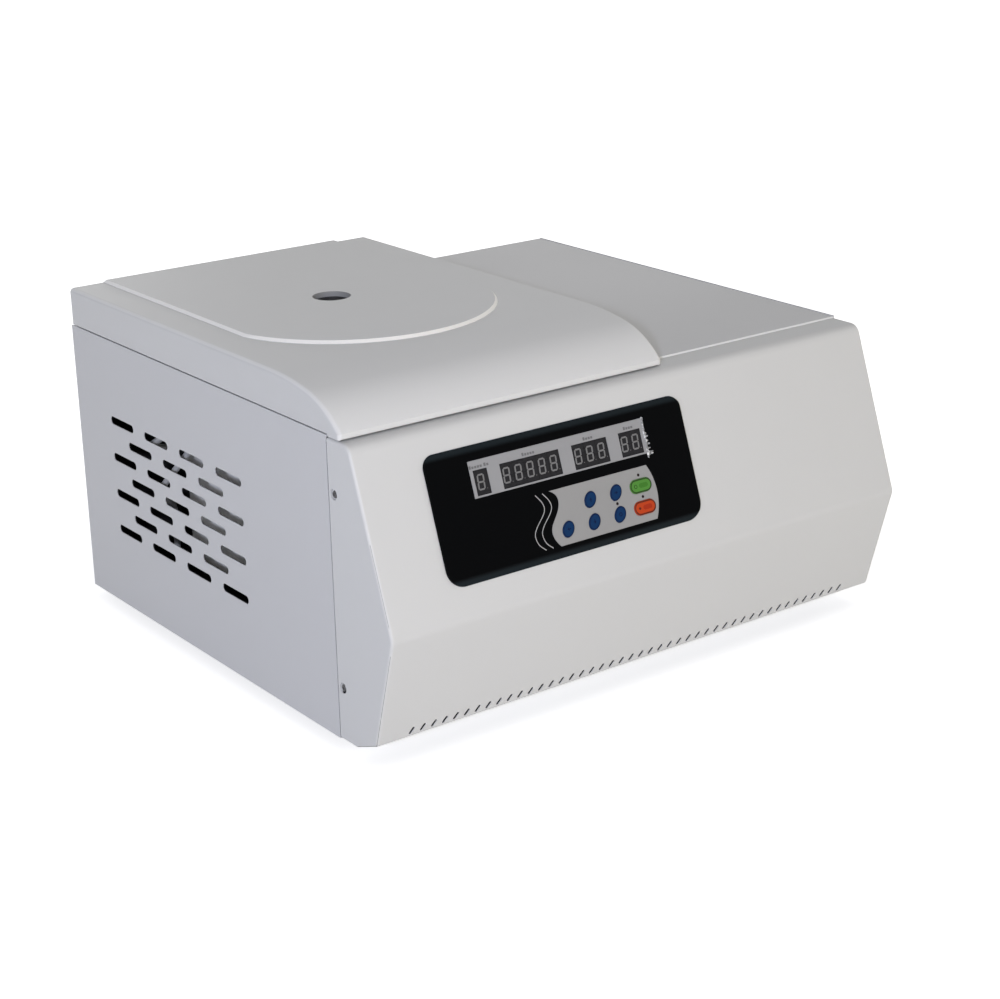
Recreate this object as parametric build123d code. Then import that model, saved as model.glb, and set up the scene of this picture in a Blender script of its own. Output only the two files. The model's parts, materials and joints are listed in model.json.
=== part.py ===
from build123d import *
import math
import os

# Refrigerated bench centrifuge for microplates. Millimetres, +Z up, front towards -Y.
# The floor is Z = 0, X = 0 is the middle of the width, Y = 0 the middle of the depth.

# Cabinet
body_width = 600.0
body_depth = 478.0        # from the front seam to the rear panel
body_height = 281.5
foot_height = 12.0
foot_radius = 14.0
foot_inset = 60.0
sheet = 1.5               # cabinet sheet steel
flange = 14.0             # folded edges of the sheet parts
fit_gap = 0.3             # between parts that nest
seam_gap = 1.5            # between side panel and front bezel
top_inset = 0.5           # deck and cover lie this far below the side panels' edge
cover_lap = 10.0          # cover reaches this far under the lid
rear_reach = 12.0         # hinge barrels stand this far behind the rear panel

rear_screw_rows = 3
rear_screw_low = 42.0     # lowest screws, above the body's bottom edge
rear_screw_pitch = 98.0

# Side slots, staggered rows
slot_length = 47.5
slot_height = 8.2
slot_pitch = 69.5
slot_row_pitch = 19.17
slot_rows = 7
slots_in_long_row = 4
slot_field_y = 278.75     # middle of the field, behind the seam
slot_field_z = 141.0      # middle of the field, above the body's bottom edge

# Front bezel
bezel_wall = 3.0
bezel_drop = 2.0          # its top lies this far below the side panels' edge
bezel_shelf = 32.2        # flat top, from the seam to the corner of the slope
nose_height = 120.0
nose_depth = 88.3
chin_height = 13.0
chin_depth = 57.0
sill_depth = 24.0
bezel_round = 12.0
bezel_end_round = 3.0
vent_pitch = 11.85
vent_first = 36.0         # first vent, from the left side
vent_length = 8.0
vent_width = 3.0
vent_lean = 33.0          # degrees from upright
vent_rise = 6.0           # middle of the vents above the chin edge
side_screw_back = 7.5     # bezel side screws, in front of the seam
side_screw_heights = (51.4, 230.4)
side_screw_recess = 5.0
screw_head_radius = 3.4
screw_head_height = 1.8
screw_shank_radius = 1.9
screw_length = 9.0
screw_gap = 0.15
tab_width = 20.0

# Control panel on the slope. Heights are measured down the slope from the bezel's top corner.
panel_left = 67.0
panel_right = 354.0
panel_top = 23.5
panel_bottom = 140.0
panel_round_top = 12.0
panel_round_bottom = 17.0
panel_rise = 2.5
panel_edge = 0.6
panel_bevel = 7.5
panel_plug_inset = 6.0
panel_plug_depth = 6.0
panel_plug_wall = 2.0
strip_left = 111.0
strip_right = 307.0
strip_top = 37.0
strip_bottom = 69.5
strip_depth = 1.0
digit_top = 45.5
digit_bottom = 68.0
digit_blocks = ((114.5, 129.5), (143.0, 208.0), (222.5, 262.5), (276.5, 302.0))
digit_sink = 0.2          # digit faces lie this far behind the strip's face
overlay_thickness = 0.4
overlay_top = 79.5
overlay_bottom = 129.5
overlay_right = 300.0
overlay_bulge = 6.5
overlay_left_top = 188.0
overlay_left_bottom = 189.0
overlay_wave = ((196.0, 10.5), (192.0, 20.5), (182.5, 35.5), (186.0, 46.5))  # down from its top
key_rise = 0.8
key_travel = 0.5
key_gap = 0.25
key_lip = 1.0             # flange behind the panel that keeps the key in
key_lip_height = 1.2
stem_radius = 2.0
stem_length = 1.2
switch_radius = 3.0
switch_clearance = 0.2    # left under a pressed key
oval_length = 15.5
oval_width = 12.0
oval_lean = 38.0          # degrees, top to the right
blue_keys = ((230.3, 96.3), (259.8, 96.5), (200.0, 116.5), (229.8, 116.5), (259.5, 116.5))
start_key_place = (289.0, 96.3)
stop_key_place = (288.7, 116.3)
bar_key_length = 25.0
bar_key_width = 12.7
lamp_radius = 1.3
lamp_places = ((289.0, 86.5), (289.0, 106.5), (259.0, 106.5))
board_thickness = 1.6
board_inset = 2.0

# Lid
lid_width = 355.0
lid_height = 37.0
lid_gap = 1.5             # over the side panels
lid_wall = 3.0
lid_round = 4.5
lip_round = 1.8           # lower edge of the front lip
lip_clear = 1.3           # front lip above the bezel's flat top
lip_corner = 4.5          # the lip's corners, seen from above
lid_flat_start = 90.0     # the flat top begins this far behind the seam
lid_large_radius = 300.0
lid_large_run = 60.0      # the large arc's length along Y
lid_small_radius = 95.0
lid_lip_reach = 20.0      # the lid's front edge lies this far in front of the seam
field_height = 3.0        # raised field on top
field_half_width = 138.5
field_radius = 144.0
field_centre_back = 233.0
field_bevel = 2.5
window_radius = 18.5
window_wall = 2.0
window_thickness = 5.0
window_sink = 5.0         # glass and ring lie this far below the raised field
liner_lift = 2.0          # liner above the lid's lower edge
liner_screw_inset = 12.0
liner_post_radius = 4.8
gasket_width = 8.0
gasket_gap = 0.3

# Hinges
hinge_spread = 105.0      # each side of the lid's middle
hinge_barrel = 5.5
hinge_pin_radius = 2.5
hinge_fit = 0.05
hinge_leaf = 2.0
hinge_width = 48.0
hinge_fixed_drop = 34.0
hinge_lid_rise = 30.0
knuckle_gap = 0.3

# Chamber, round the rotor's axis
axis_from_left = 175.0
axis_from_seam = 262.0
bowl_radius = 137.0
bowl_wall = 1.0
bowl_floor = 97.0         # above the body's bottom edge
bowl_round = 16.0
bowl_rim = 11.0
coil_radius = 2.5
coil_pitch = 14.0
coil_head = 15.0          # least height of bare bowl above the coil
coil_gap = 0.1
riser_radius = 1.9        # pipe that joins the coil's rings
foam_gap = 0.4
drum_radius = 150.0
drum_wall = 1.2
drum_floor = 72.0

# Drive
mount_floor = 40.0        # underside of the motor plate, above the body's bottom edge
mount_plate = 6.0
mount_side = 170.0
damper_radius = 14.0
damper_inset = 20.0
motor_radius = 55.0
motor_floor = 9.0
motor_top = 93.0
motor_flange_radius = 70.0
motor_bore = 14.0
neck_radius = 17.0
neck_top = 118.0
shaft_radius = 8.0
bearing_height = 9.0
bearing_fit = 0.04
bearing_seat_wall = 0.05

# Rotor and carriers
rotor_height = 188.0      # trunnions, above the body's bottom edge
yoke_half_width = 79.0
yoke_rail = 10.0
yoke_rail_reach = 67.0
yoke_rail_half_height = 8.0
crossbar_half = 12.5
hub_radius = 13.5
hub_drop = 14.0
hub_rise = 1.0            # above the rails
swing_radius = 60.0       # trunnions from the rotor's axis
trunnion_radius = 4.0
trunnion_fit = 0.08
nut_radius = 12.0
nut_height = 16.0
stud_radius = 5.0
plate_length = 127.8      # microplate, long side
plate_width = 85.5
plate_gap = 0.5
carrier_wall = 2.0
carrier_drop = 33.0
carrier_skirt = 12.0      # height of the end walls
carrier_round = 6.0
ear_radius = 10.0

# Lid lock
striker_from_seam = 52.0
striker_width = 24.0
striker_thickness = 4.0
striker_drop = 34.0
striker_base = 40.0
bolt_radius = 4.0
bolt_travel = 14.0
bolt_fit = 0.06
eye_gap = 2.5             # round the bolt, in the striker's eye
lock_wall = 3.0
lock_gap = 1.5
lock_height = 30.0
lock_clear = 3.0          # slot in the deck round the striker
solenoid_length = 38.0
solenoid_side = 28.0

# Cooling
compressor_side_gap = 44.5  # from its mounting plate to the right side panel
compressor_y = 150.0      # behind the seam
compressor_radius = 70.0
compressor_height = 165.0
compressor_round = 32.0
compressor_foot = 12.0
condenser_width = 196.0
condenser_side_gap = 22.5  # to the right side panel
condenser_floor = 22.0
condenser_height = 196.0
condenser_depth = 40.0
fin_count = 24
fin_thickness = 0.8
condenser_tube = 4.0
condenser_rows = 6
shroud_depth = 34.0
shroud_wall = 2.0
fan_radius = 84.0
fan_gap = 3.0
fan_hub_radius = 26.0
fan_hub_depth = 15.0
fan_blades_count = 7
blade_pitch = 28.0        # degrees
blade_thickness = 2.0
fan_motor_radius = 22.0
fan_shaft_radius = 3.0
arm_width = 7.0
grille_ring = 6.0
grille_pitch = 11.0
grille_spoke = 6.0
pipe_radius = 3.2
pipe_bend = 16.0
line_gap = 7.5            # liquid line to the left side panel
line_bend = 9.0
# its bends: behind the rotor's axis, above the body's bottom edge
line_route = ((72.0, 141.5), (-9.0, 210.5), (13.0, 223.0), (89.0, 182.0))
line_foot = (-120.0, 129.0)   # where it rises from the pan, from the axis
line_foot_height = 98.0
line_inlet_turn = 40.0    # degrees, where it enters the drum
line_inlet_reach = 36.0
line_inlet_drop = 13.0

# Power inlet with rocker, on the rear panel
inlet_x = 70.0            # from the left side
inlet_z = 60.0            # above the body's bottom edge
inlet_width = 50.0
inlet_height = 62.0
inlet_plate = 2.5
inlet_body_depth = 30.0
socket_width = 24.5
socket_height = 17.0
socket_depth = 17.0
socket_drop = 14.0        # below the module's middle
pin_width = 2.0
pin_height = 4.0
pin_length = 16.0
pin_spread = 7.0
rocker_width = 20.0
rocker_height = 15.0
rocker_lift = 16.0        # above the module's middle
rocker_tilt = 9.0         # degrees each side of level
rocker_gap = 0.4
rocker_pin = 1.5
rocker_pin_length = 1.0
rocker_taper = 1.0

# Control board on the base pan
control_side_gap = 63.5   # to the right side panel
control_front = 14.0      # behind the seam
control_width = 150.0
control_depth = 42.0
standoff = 8.0
capacitor_count = 3
capacitor_pitch = 32.0
capacitor_radius = 9.0
capacitor_height = 30.0

edge_tolerance = 0.01     # for picking edges by their place

# Places that follow from the sizes
left = -body_width / 2
right = body_width / 2
base_z = foot_height
top_z = base_z + body_height
bezel_height = body_height - bezel_drop
deck_top = top_z - top_inset
deck_under = deck_top - sheet
lid_floor = top_z + lid_gap
lid_top = lid_floor + lid_height


def bezel_outline(shift=0.0):
    points = [
        (0, bezel_height),
        (-bezel_shelf, bezel_height),
        (-nose_depth, nose_height),
        (-chin_depth, chin_height),
        (-sill_depth, 0),
        (0, 0),
    ]
    rounds = [bezel_round, bezel_round, bezel_end_round, bezel_end_round]
    edge = FilletPolyline(*[(y + shift, z) for y, z in points], radius=rounds)
    return make_face(edge + Line(edge @ 1, edge @ 0))


nose_reach = -bezel_outline().bounding_box().min.X
seam = -(nose_reach + body_depth + rear_reach) / 2 + nose_reach
back = seam + body_depth
axis_x = left + axis_from_left
axis_y = seam + axis_from_seam
lid_right = left + lid_width
cover_left = lid_right - cover_lap

slope_turn = math.atan2(nose_depth - bezel_shelf, bezel_height - nose_height)
slope_out = (0, -math.cos(slope_turn), math.sin(slope_turn))
slope = Plane(origin=(left, seam - bezel_shelf, base_z + bezel_height), x_dir=(1, 0, 0), z_dir=slope_out)
chin_turn = math.atan2(nose_depth - chin_depth, nose_height - chin_height)
chin_out = (0, -math.cos(chin_turn), -math.sin(chin_turn))
chin = Plane(origin=(left, seam - chin_depth, base_z + chin_height), x_dir=(1, 0, 0), z_dir=chin_out)


def box(x0, x1, y0, y1, z0, z1):
    return Pos((x0 + x1) / 2, (y0 + y1) / 2, (z0 + z1) / 2) * Box(x1 - x0, y1 - y0, z1 - z0)


def block(x, y, half_x, half_y, z0, z1):
    return box(x - half_x, x + half_x, y - half_y, y + half_y, z0, z1)


def post(x, y, z0, z1, radius):
    return Pos(x, y, (z0 + z1) / 2) * Cylinder(radius, z1 - z0)


def rod_x(x0, x1, y, z, radius):
    return Pos((x0 + x1) / 2, y, z) * Rot(0, 90, 0) * Cylinder(radius, x1 - x0)


def rod_y(x, y0, y1, z, radius):
    return Pos(x, (y0 + y1) / 2, z) * Rot(90, 0, 0) * Cylinder(radius, y1 - y0)


def ring(x, y, z0, z1, outer, inner):
    return post(x, y, z0, z1, outer) - post(x, y, z0, z1, inner)


def on_slope(x, down, height=0.0):
    # a point of the sloping face: x from the left side, down the slope, height above it
    return slope * Pos(x, -down, height)


def slope_slab(x0, x1, down0, down1, height0, height1):
    middle = on_slope((x0 + x1) / 2, (down0 + down1) / 2, (height0 + height1) / 2)
    return middle * Box(x1 - x0, down1 - down0, height1 - height0)


def near(place, target):
    return abs(place - target) < edge_tolerance


def prism_x(face, x0, x1):
    # a section drawn in Y and Z, drawn out along X
    return extrude(Plane.YZ.offset(x0) * face, x1 - x0)


parts = {}


def add(name, *solids):
    parts[name] = solids[0] if len(solids) == 1 else Compound(children=list(solids))


# Sheet-metal cabinet

def slot_field(x):
    cuts = Part()
    for row in range(slot_rows):
        count = slots_in_long_row - row % 2
        z = base_z + slot_field_z + ((slot_rows - 1) / 2 - row) * slot_row_pitch
        for column in range(count):
            y = seam + slot_field_y + (column - (count - 1) / 2) * slot_pitch
            slot = Plane.YZ * Pos(y, z) * SlotOverall(slot_length, slot_height)
            cuts += Pos(x, 0, 0) * extrude(slot, sheet, both=True)
    return cuts


def side_panel(side):
    # side is -1 for the left panel and 1 for the right one
    outer = side * body_width / 2
    inner = outer - side * sheet
    edge = inner - side * flange
    tab_out = outer - side * bezel_wall
    tab_in = tab_out - side * sheet
    skin_back = back - sheet
    panel = box(min(outer, inner), max(outer, inner), seam + seam_gap, back, base_z, top_z)
    low = base_z + sheet
    panel += box(min(inner, edge), max(inner, edge), skin_back - sheet, skin_back, low, deck_under - sheet)
    for height in side_screw_heights:
        z0 = base_z + height - tab_width / 2
        z1 = z0 + tab_width
        tab = box(min(tab_out, tab_in), max(tab_out, tab_in), seam - tab_width, seam + tab_width, z0, z1)
        tab += box(min(inner, tab_in), max(inner, tab_in), seam + tab_width / 2, seam + tab_width, z0, z1)
        hole = rod_x(min(outer, tab_in) - sheet, max(outer, tab_in) + sheet, seam - side_screw_back,
                     base_z + height, screw_shank_radius + screw_gap)
        panel += tab - hole
    panel -= slot_field(outer)
    return panel


def base_pan():
    x0 = left + sheet
    x1 = right - sheet
    y1 = back - sheet
    pan = box(x0, x1, seam, y1, base_z, base_z + sheet)
    rim = base_z + sheet
    pan += box(x0, x1, seam, seam + sheet, rim, rim + flange)
    for x in (x0, x1 - sheet):
        pan += box(x, x + sheet, seam + tab_width + sheet, y1 - flange, rim, rim + flange)
    pan += box(x0 + flange + fit_gap, x1 - flange - fit_gap, y1 - sheet, y1, rim, rim + flange)
    return pan


def grille_cuts(x, z):
    cuts = Part()
    radius = fan_hub_radius
    while radius + grille_ring <= fan_radius:
        opening = rod_y(x, back - 2 * sheet, back + sheet, z, radius + grille_ring)
        cuts += opening - rod_y(x, back - 2 * sheet, back + sheet, z, radius)
        radius += grille_pitch
    spoke = Box(2 * fan_radius, 4 * sheet, grille_spoke)
    for turn in (45, 135):
        cuts -= Pos(x, back, z) * Rot(0, turn, 0) * spoke
    return cuts


condenser_x1 = right - sheet - condenser_side_gap
condenser_x0 = condenser_x1 - condenser_width
fan_x = (condenser_x0 + condenser_x1) / 2
fan_z = base_z + condenser_floor + condenser_height / 2
module_x = left + inlet_x
module_z = base_z + inlet_z
rear_screw_x = [left + sheet + flange / 2 + fit_gap, right - sheet - flange / 2 - fit_gap]
rear_screw_z = [base_z + rear_screw_low + number * rear_screw_pitch for number in range(rear_screw_rows)]


def rear_panel():
    x0 = left + sheet + fit_gap
    x1 = right - sheet - fit_gap
    y0 = back - sheet
    panel = box(x0, x1, y0, back, base_z, deck_under)
    panel += box(x0 + flange, x1 - flange, y0 - flange, y0, deck_under - sheet, deck_under)
    panel -= grille_cuts(fan_x, fan_z)
    body = inlet_width - 2 * inlet_plate + 2 * fit_gap
    tall = inlet_height - 2 * inlet_plate + 2 * fit_gap
    panel -= Pos(module_x, back, module_z) * Box(body, 4 * sheet, tall)
    for x in rear_screw_x:
        for z in rear_screw_z:
            panel -= rod_y(x, y0 - sheet, back + sheet, z, screw_shank_radius + screw_gap)
    return panel


def rear_screws():
    screws = []
    for x in rear_screw_x:
        for z in rear_screw_z:
            head = rod_y(x, back, back + screw_head_height, z, screw_head_radius)
            head += rod_y(x, back - sheet, back, z, screw_shank_radius)
            screws.append(head)
    return screws


def top_cover():
    x0 = cover_left
    x1 = right - sheet - fit_gap
    y0 = seam + fit_gap
    cover = box(x0, x1, y0, back, deck_under, deck_top)
    low = deck_under - flange
    cover += box(x1 - sheet, x1, y0, back - 2 * sheet - flange, low, deck_under)
    cover += box(x0, x1, y0, y0 + sheet, low, deck_under)
    cover += box(x0, x0 + sheet, y0, back - 2 * sheet - flange, low, deck_under)
    return cover


striker_y = seam + striker_from_seam


def chamber_deck():
    x0 = left + sheet + fit_gap
    x1 = cover_left - fit_gap
    y0 = seam + fit_gap
    deck = box(x0, x1, y0, back, deck_under, deck_top)
    low = deck_under - flange
    deck += box(x0, x0 + sheet, y0 + tab_width, back - 2 * sheet - flange, low, deck_under)
    deck += box(x0 + bezel_wall + sheet, x1, y0, y0 + sheet, low, deck_under)
    deck += box(x1 - sheet, x1, y0, back - 2 * sheet - flange, low, deck_under)
    deck -= post(axis_x, axis_y, deck_under - sheet, deck_top + sheet, bowl_radius + bowl_wall + fit_gap)
    half = striker_width / 2 + lock_clear
    reach = striker_thickness / 2 + lock_clear
    deck -= block(axis_x, striker_y, half, reach, deck_under - sheet, top_z)
    return deck


def feet():
    x = body_width / 2 - foot_inset
    return [
        post(px, py, 0, base_z, foot_radius)
        for px in (-x, x)
        for py in (seam + foot_inset, back - foot_inset)
    ]


# Front bezel and its screws

def front_bezel():
    outer = prism_x(Pos(seam, base_z) * bezel_outline(), left, right)
    ends = outer.edges().filter_by(lambda e: near(e.center().X, left) or near(e.center().X, right))
    ends = ends.filter_by(lambda e: not near(e.center().Y, seam))
    outer = fillet(ends, bezel_end_round)
    hollow = offset(bezel_outline(), amount=-bezel_wall)
    reach = 2 * bezel_wall
    middle = bezel_height / 2
    hollow += Pos(-bezel_wall, middle) * Rectangle(2 * reach, bezel_height - 2 * bezel_wall)
    shell = outer - prism_x(Pos(seam, base_z) * hollow, left + bezel_wall, right - bezel_wall)
    width = panel_right - panel_left - 2 * panel_plug_inset + 2 * fit_gap
    height = panel_bottom - panel_top - 2 * panel_plug_inset + 2 * fit_gap
    mouth = on_slope((panel_left + panel_right) / 2, (panel_top + panel_bottom) / 2)
    shell -= mouth * Box(width, height, 4 * bezel_wall)
    slot = extrude(SlotOverall(vent_length, vent_width), 2 * bezel_wall, both=True)
    cuts = Part()
    vent_count = int((body_width - 2 * vent_first) / vent_pitch) + 1
    for index in range(vent_count):
        place = Pos(vent_first + index * vent_pitch, vent_rise, 0) * Rot(0, 0, 90 - vent_lean)
        cuts += chin * place * slot
    shell -= cuts
    for side in (-1, 1):
        for height in side_screw_heights:
            shell -= screw_hole(side, height)
    return shell


def screw_hole(side, height):
    face = side * body_width / 2
    floor_x = face - side * (screw_head_height + screw_gap)
    far = face - side * 2 * bezel_wall
    near = face + side
    y = seam - side_screw_back
    z = base_z + height
    hole = rod_x(min(floor_x, near), max(floor_x, near), y, z, side_screw_recess)
    return hole + rod_x(min(far, near), max(far, near), y, z, screw_shank_radius + screw_gap)


def side_screws():
    screws = []
    for side in (-1, 1):
        face = side * body_width / 2
        seat = face - side * (screw_head_height + screw_gap)
        tip = seat - side * screw_length
        top = seat + side * screw_head_height
        for height in side_screw_heights:
            y = seam - side_screw_back
            z = base_z + height
            screw = rod_x(min(seat, top), max(seat, top), y, z, screw_head_radius)
            screws.append(screw + rod_x(min(tip, seat), max(tip, seat), y, z, screw_shank_radius))
    return screws


# Control panel

def rounded_face(x0, x1, down0, down1, round_top, round_bottom):
    corners = [(x0, -down0), (x1, -down0), (x1, -down1), (x0, -down1)]
    rounds = [round_top, round_top, round_bottom, round_bottom]
    return make_face(FilletPolyline(*corners, radius=rounds, close=True))


key_places = {f"blue_key_{number + 1}": place for number, place in enumerate(blue_keys)}
key_places["start_key"] = start_key_place
key_places["stop_key"] = stop_key_place


def key_outline(name, grow=0.0):
    x, down = key_places[name]
    if name.startswith("blue"):
        oval = Ellipse(oval_length / 2 + grow, oval_width / 2 + grow)
        return Pos(x, -down) * Rot(0, 0, 90 - oval_lean) * oval
    return Pos(x, -down) * SlotOverall(bar_key_length + 2 * grow, bar_key_width + 2 * grow)


def raised(face, height0, height1):
    return extrude(slope.offset(height0) * face, height1 - height0)


def control_panel():
    plate = raised(rounded_face(panel_left, panel_right, panel_top, panel_bottom,
                                panel_round_top, panel_round_bottom), 0, panel_rise)
    section = Polyline(
        (-panel_top, 0),
        (-panel_top, panel_edge),
        (-panel_top - panel_bevel, panel_rise),
        (-panel_bottom + panel_bevel, panel_rise),
        (-panel_bottom, panel_edge),
        (-panel_bottom, 0),
        close=True)
    across = Plane(origin=slope.origin, x_dir=slope.y_dir, z_dir=(1, 0, 0))
    plate &= extrude(across * make_face(section), body_width)
    x0 = panel_left + panel_plug_inset
    x1 = panel_right - panel_plug_inset
    down0 = panel_top + panel_plug_inset
    down1 = panel_bottom - panel_plug_inset
    plug = slope_slab(x0, x1, down0, down1, -panel_plug_depth, 0)
    w = panel_plug_wall
    plug -= slope_slab(x0 + w, x1 - w, down0 + w, down1 - w, -panel_plug_depth, 0)
    plate += plug
    plate -= slope_slab(strip_left - fit_gap / 2, strip_right + fit_gap / 2, strip_top - fit_gap / 2,
                        strip_bottom + fit_gap / 2, panel_rise - strip_depth, 2 * panel_rise)
    for x0, x1 in digit_blocks:
        plate -= slope_slab(x0, x1, digit_top, digit_bottom, -fit_gap, panel_rise)
    for name in key_places:
        plate -= raised(key_outline(name, key_gap), -fit_gap, 2 * panel_rise)
    for place in lamp_places:
        plate -= on_slope(*place) * Cylinder(lamp_radius + screw_gap, 4 * panel_rise)
    return plate


def display_strip():
    low = panel_rise - strip_depth
    strip = slope_slab(strip_left, strip_right, strip_top, strip_bottom, low, panel_rise)
    for x0, x1 in digit_blocks:
        strip -= slope_slab(x0, x1, digit_top, digit_bottom, low, panel_rise)
    return strip


def digit_modules():
    rim = fit_gap / 2
    top = panel_rise - digit_sink
    return [
        slope_slab(x0 + rim, x1 - rim, digit_top + rim, digit_bottom - rim, -panel_plug_depth, top)
        for x0, x1 in digit_blocks
    ]


def keypad_overlay():
    wave_points = [(x, -overlay_top - drop) for x, drop in overlay_wave]
    wave = Spline((overlay_left_top, -overlay_top), *wave_points, (overlay_left_bottom, -overlay_bottom))
    middle = (overlay_top + overlay_bottom) / 2
    bulge = ThreePointArc((overlay_right, -overlay_top), (overlay_right + overlay_bulge, -middle),
                          (overlay_right, -overlay_bottom))
    top = Line(wave @ 0, bulge @ 0)
    bottom = Line(wave @ 1, bulge @ 1)
    sheet_face = make_face([wave, bottom, bulge, top])
    overlay = raised(sheet_face, panel_rise, panel_rise + overlay_thickness)
    for name in key_places:
        overlay -= raised(key_outline(name, key_gap), 0, 2 * panel_rise)
    for place in lamp_places:
        overlay -= on_slope(*place) * Cylinder(lamp_radius + screw_gap, 4 * panel_rise)
    return overlay


def key(name):
    top = panel_rise + overlay_thickness + key_rise
    seat = -screw_gap
    cap = raised(key_outline(name), seat, top)
    upper = cap.edges().group_by(lambda e: slope.to_local_coords(e.center()).Z)[-1]
    cap = fillet(upper, key_rise / 2)
    cap += raised(key_outline(name, key_lip), seat - key_lip_height, seat)
    end = seat - key_lip_height - stem_length
    return cap + on_slope(*key_places[name], (end + seat) / 2) * Cylinder(stem_radius, seat - end)


def lamps():
    top = panel_rise + overlay_thickness + screw_gap
    middle = (top - panel_plug_depth) / 2
    return [on_slope(*place, middle) * Cylinder(lamp_radius, top + panel_plug_depth) for place in lamp_places]


def display_board():
    x0 = panel_left + panel_plug_inset + board_inset / 2
    x1 = panel_right - panel_plug_inset - board_inset / 2
    down0 = panel_top + panel_plug_inset + board_inset / 2
    down1 = panel_bottom - panel_plug_inset - board_inset / 2
    floor_h = -panel_plug_depth
    board = slope_slab(x0, x1, down0, down1, floor_h - board_thickness, floor_h)
    switch_top = -screw_gap - key_lip_height - stem_length - key_travel - switch_clearance
    middle = (floor_h + switch_top) / 2
    for place in key_places.values():
        board += on_slope(*place, middle) * Cylinder(switch_radius, switch_top - floor_h)
    return board


# Lid

def lid_curve(lift=0.0):
    # the lid's section in Y (from the seam) and Z (from the lid's lower edge)
    back_y = body_depth
    large = lid_large_radius
    small = lid_small_radius
    start = (lid_flat_start, lid_height)
    turn = math.asin(lid_large_run / large)
    knee = (start[0] - lid_large_run, start[1] - large * (1 - math.cos(turn)))
    centre = (knee[0] + small * math.sin(turn), knee[1] - small * math.cos(turn))
    turn_end = math.asin((centre[0] + lid_lip_reach) / small)
    lip = (-lid_lip_reach, centre[1] + small * math.cos(turn_end))
    half_turn = (turn + turn_end) / 2
    on_large = (start[0] - large * math.sin(turn / 2), start[1] - large * (1 - math.cos(turn / 2)))
    on_small = (centre[0] - small * math.sin(half_turn), centre[1] + small * math.cos(half_turn))
    edges = [
        Line((back_y, lift), (back_y, lid_height)),
        Line((back_y, lid_height), start),
        ThreePointArc(start, on_large, knee),
        ThreePointArc(knee, on_small, lip),
        Line(lip, (lip[0], lift)),
        Line((lip[0], lift), (back_y, lift)),
    ]
    return make_face(edges)


lid_front = seam + lid_curve().bounding_box().min.X
lip_floor = base_z + bezel_height + lip_clear


def raised_field():
    half = field_half_width
    run = math.sqrt(field_radius ** 2 - half ** 2)
    side_y = field_centre_back - run
    front_y = field_centre_back - field_radius
    rear_y = body_depth - lid_round
    edges = [
        Line((-half, rear_y), (-half, side_y)),
        ThreePointArc((-half, side_y), (0, front_y), (half, side_y)),
        Line((half, side_y), (half, rear_y)),
        Line((half, rear_y), (-half, rear_y)),
    ]
    face = Pos(axis_x, seam) * make_face(edges)
    pad = extrude(Plane.XY.offset(lid_top - lid_round) * face, field_height + lid_round)
    return chamfer(pad.edges().group_by(Axis.Z)[-1], field_bevel)


def lip_skirt():
    # in front of the seam the lid reaches down to the bezel's lower top
    y0 = lid_front
    y1 = seam - seam_gap
    skirt = box(left, lid_right, y0, y1, lip_floor, lid_floor + lid_wall)
    inner_left = left + lid_wall
    inner_right = lid_right - lid_wall
    return skirt - box(inner_left, inner_right, y0 + lid_wall, y1 + lid_wall, lip_floor, lid_floor + lid_wall)


def lip_cut():
    # rounds the lower edge and the corners of the front lip
    edge = Pos(lid_front, lip_floor) * Rectangle(2 * lip_round, 2 * lip_round)
    edge -= Pos(lid_front + lip_round, lip_floor + lip_round) * Circle(lip_round)
    cuts = prism_x(edge, left, lid_right)
    for x, inward in ((left, lip_corner), (lid_right, -lip_corner)):
        corner = Pos(x, lid_front) * Rectangle(2 * lip_corner, 2 * lip_corner)
        corner -= Pos(x + inward, lid_front + lip_corner) * Circle(lip_corner)
        cuts += extrude(Plane.XY.offset(lip_floor) * corner, lid_height)
    return cuts


def lid_shell():
    # moulded shell with posts inside that the liner is screwed to
    outer = prism_x(Pos(seam, lid_floor) * lid_curve(), left, lid_right)
    above = outer.edges().filter_by(lambda e: e.center().Z > lid_floor + lid_wall)
    sides = above.filter_by(lambda e: near(e.center().X, left) or near(e.center().X, lid_right))
    rear = above.filter_by(lambda e: near(e.center().Y, back) and near(e.center().Z, lid_top))
    outer = fillet(sides + rear, lid_round) + lip_skirt() - lip_cut()
    outer += raised_field()
    hollow = offset(lid_curve(), amount=-lid_wall)
    hollow += Pos(body_depth / 2, 0) * Rectangle(body_depth - 2 * lid_wall, 4 * lid_wall)
    shell = outer - prism_x(Pos(seam, lid_floor) * hollow, left + lid_wall, lid_right - lid_wall)
    for x, y in liner_screw_places():
        shell += outer & ring(x, y, liner_z + sheet, lid_top, liner_post_radius, screw_shank_radius)
        shell += outer & post(x, y, lid_top - lid_wall, lid_top, screw_shank_radius)
    return shell - post(axis_x, axis_y, lid_floor, lid_top + 2 * field_height, window_radius)


liner_z = lid_floor + liner_lift


def liner_screw_places():
    x0 = left + lid_wall + liner_screw_inset
    x1 = lid_right - lid_wall - liner_screw_inset
    y0 = seam + liner_screw_inset
    y1 = back - lid_wall - liner_screw_inset
    return [(x, y) for x in (x0, x1) for y in (y0, (y0 + y1) / 2, y1)]


def lid_liner():
    rim = lid_wall + fit_gap
    liner = box(left + rim, lid_right - rim, seam + rim, back - rim, liner_z, liner_z + sheet)
    liner -= post(axis_x, axis_y, liner_z - sheet, liner_z + 2 * sheet, window_radius - window_wall)
    for x, y in liner_screw_places():
        liner -= post(x, y, liner_z - sheet, liner_z + 2 * sheet, screw_shank_radius + screw_gap)
    return liner


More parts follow.
